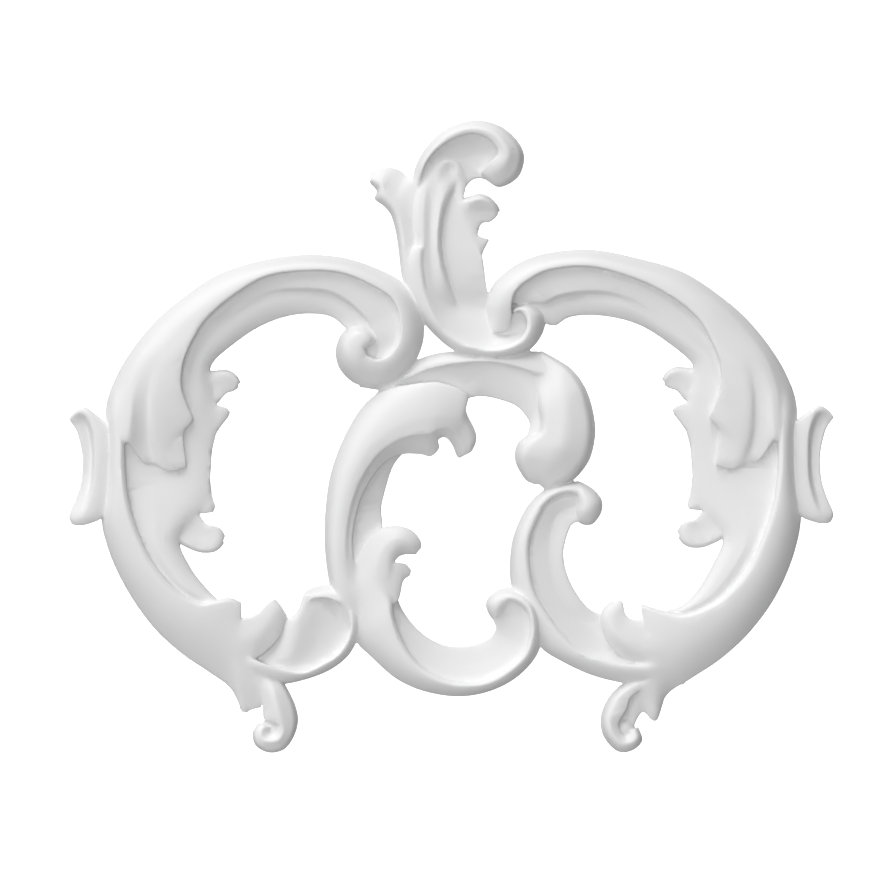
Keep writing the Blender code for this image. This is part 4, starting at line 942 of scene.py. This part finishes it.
def soften(skin):
    """Evens out the front of the skin, a little all over and more where forms flow together."""
    points = read(skin.vertices, "co", 3)
    first, second = read(skin.edges, "vertices", 2, int).T
    facing = -read(skin.vertices, "normal", 3)[:, 1]
    front = np.clip((facing - FRONT_SLOPE) / FRONT_SLOPE, 0, 1)
    ties = np.bincount(first, minlength=len(points)) + np.bincount(second, minlength=len(points))
    blend = front * blend_share(points)
    for step in range(OVERALL_PASSES + BLEND_PASSES):
        weight = front if step < OVERALL_PASSES else blend
        moves = [sum_of_ties(points[:, axis], first, second) / ties - points[:, axis] for axis in range(3)]
        points += weight[:, None] * np.column_stack(moves)
    points[points[:, 1] > -FLAT_BACK_SKIN, 1] = 0.0
    skin.vertices.foreach_set("co", points.ravel())
    skin.update()


def thinned(skin):
    """The skin with fewer, uneven triangles: small ones in the carving and large ones on the flat back."""
    piece = bpy.data.objects.new("onlay_carved", skin)
    bpy.context.collection.objects.link(piece)
    thin = piece.modifiers.new("thin", "DECIMATE")
    thin.ratio = TRIANGLES / (2 * len(skin.polygons))
    mesh = bpy.data.meshes.new_from_object(piece.evaluated_get(bpy.context.evaluated_depsgraph_get()))
    piece.modifiers.clear()
    piece.data = mesh
    bpy.data.meshes.remove(skin)
    mesh.shade_smooth()
    mesh.set_sharp_from_angle(angle=SHARP_ANGLE)
    return piece


def noise(tree, scale, detail):
    """A noise that is fixed to the piece, as a value from 0 to 1."""
    coordinates = tree.nodes.new("ShaderNodeTexCoord")
    texture = tree.nodes.new("ShaderNodeTexNoise")
    texture.inputs["Scale"].default_value = scale
    texture.inputs["Detail"].default_value = detail
    tree.links.new(coordinates.outputs["Object"], texture.inputs["Vector"])
    return texture.outputs[0]


def satin_white():
    """Smooth white primer on a cast polymer, with the faint unevenness of a sprayed coat."""
    material = bpy.data.materials.new("primed_polymer")
    material.use_nodes = True
    tree = material.node_tree
    shader = tree.nodes["Principled BSDF"]
    coat = noise(tree, COAT_SCALE, COAT_DETAIL)
    tint = tree.nodes.new("ShaderNodeValToRGB")
    for stop, shade in zip(tint.color_ramp.elements, COAT_SHADES):
        stop.color = (shade, shade, shade, 1.0)
    tree.links.new(coat, tint.inputs["Fac"])
    tree.links.new(tint.outputs["Color"], shader.inputs["Base Color"])
    sheen = tree.nodes.new("ShaderNodeMapRange")
    sheen.inputs["To Min"].default_value = ROUGHNESS[0]
    sheen.inputs["To Max"].default_value = ROUGHNESS[1]
    tree.links.new(coat, sheen.inputs["Value"])
    tree.links.new(sheen.outputs["Result"], shader.inputs["Roughness"])
    grain = tree.nodes.new("ShaderNodeBump")
    grain.inputs["Strength"].default_value = GRAIN_STRENGTH
    grain.inputs["Distance"].default_value = GRAIN_DEPTH
    tree.links.new(noise(tree, GRAIN_SCALE, GRAIN_DETAIL), grain.inputs["Height"])
    tree.links.new(grain.outputs["Normal"], shader.inputs["Normal"])
    return material


def sun(name, towards, strength, angle):
    """A soft light that shines from the given direction."""
    light = bpy.data.lights.new(name, "SUN")
    light.energy = strength
    light.angle = angle
    lamp = bpy.data.objects.new(name, light)
    lamp.rotation_euler = Vector(towards).to_track_quat("Z", "Y").to_euler()
    bpy.context.collection.objects.link(lamp)


def plain_white(name, shade, glow):
    """Plain white for the studio."""
    material = bpy.data.materials.new(name)
    material.use_nodes = True
    shader = material.node_tree.nodes["Principled BSDF"]
    shader.inputs["Base Color"].default_value = (shade, shade, shade, 1.0)
    shader.inputs["Emission Color"].default_value = WHITE
    shader.inputs["Emission Strength"].default_value = glow
    return material


def sheet_of(name, size, location, rotation, shade, glow):
    """A plain square of the studio."""
    bpy.ops.mesh.primitive_plane_add(size=size, location=location, rotation=rotation)
    plane = bpy.context.object
    plane.name = name
    plane.data.materials.append(plain_white(name + "_white", shade, glow))


def studio():
    for sheet in SHEETS:
        sheet_of(*sheet)
    for lamp in SUNS:
        sun(*lamp)
    world = bpy.data.worlds.new("studio")
    world.use_nodes = True
    air = world.node_tree.nodes["Background"]
    air.inputs["Color"].default_value = WHITE
    air.inputs["Strength"].default_value = AIR_LIGHT
    bpy.context.scene.world = world
    bpy.context.scene.view_settings.view_transform = "Standard"


def camera():
    """A camera that sees the drawing sheet as the photograph does."""
    unit = WIDTH / SHEET_SPAN
    lens = bpy.data.cameras.new("camera")
    lens.sensor_width = SENSOR
    lens.lens = SENSOR * CAMERA_DISTANCE / (PHOTO_SPAN * unit)
    stand = bpy.data.objects.new("camera", lens)
    x = (PHOTO_MIDDLE[0] - FIXING[0]) * unit
    z = (FIXING[1] - PHOTO_MIDDLE[1]) * unit
    stand.location = (x, -CAMERA_DISTANCE, z)
    stand.rotation_euler = (np.pi / 2, 0.0, 0.0)
    bpy.context.collection.objects.link(stand)
    bpy.context.scene.camera = stand


def main():
    skin, faces = fused(build_mesh())
    settle(skin, faces)
    soften(skin)
    onlay = thinned(skin)
    onlay.data.materials.append(satin_white())
    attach(onlay, "root")
    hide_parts("scroll_onlay")
    studio()
    camera()


main()
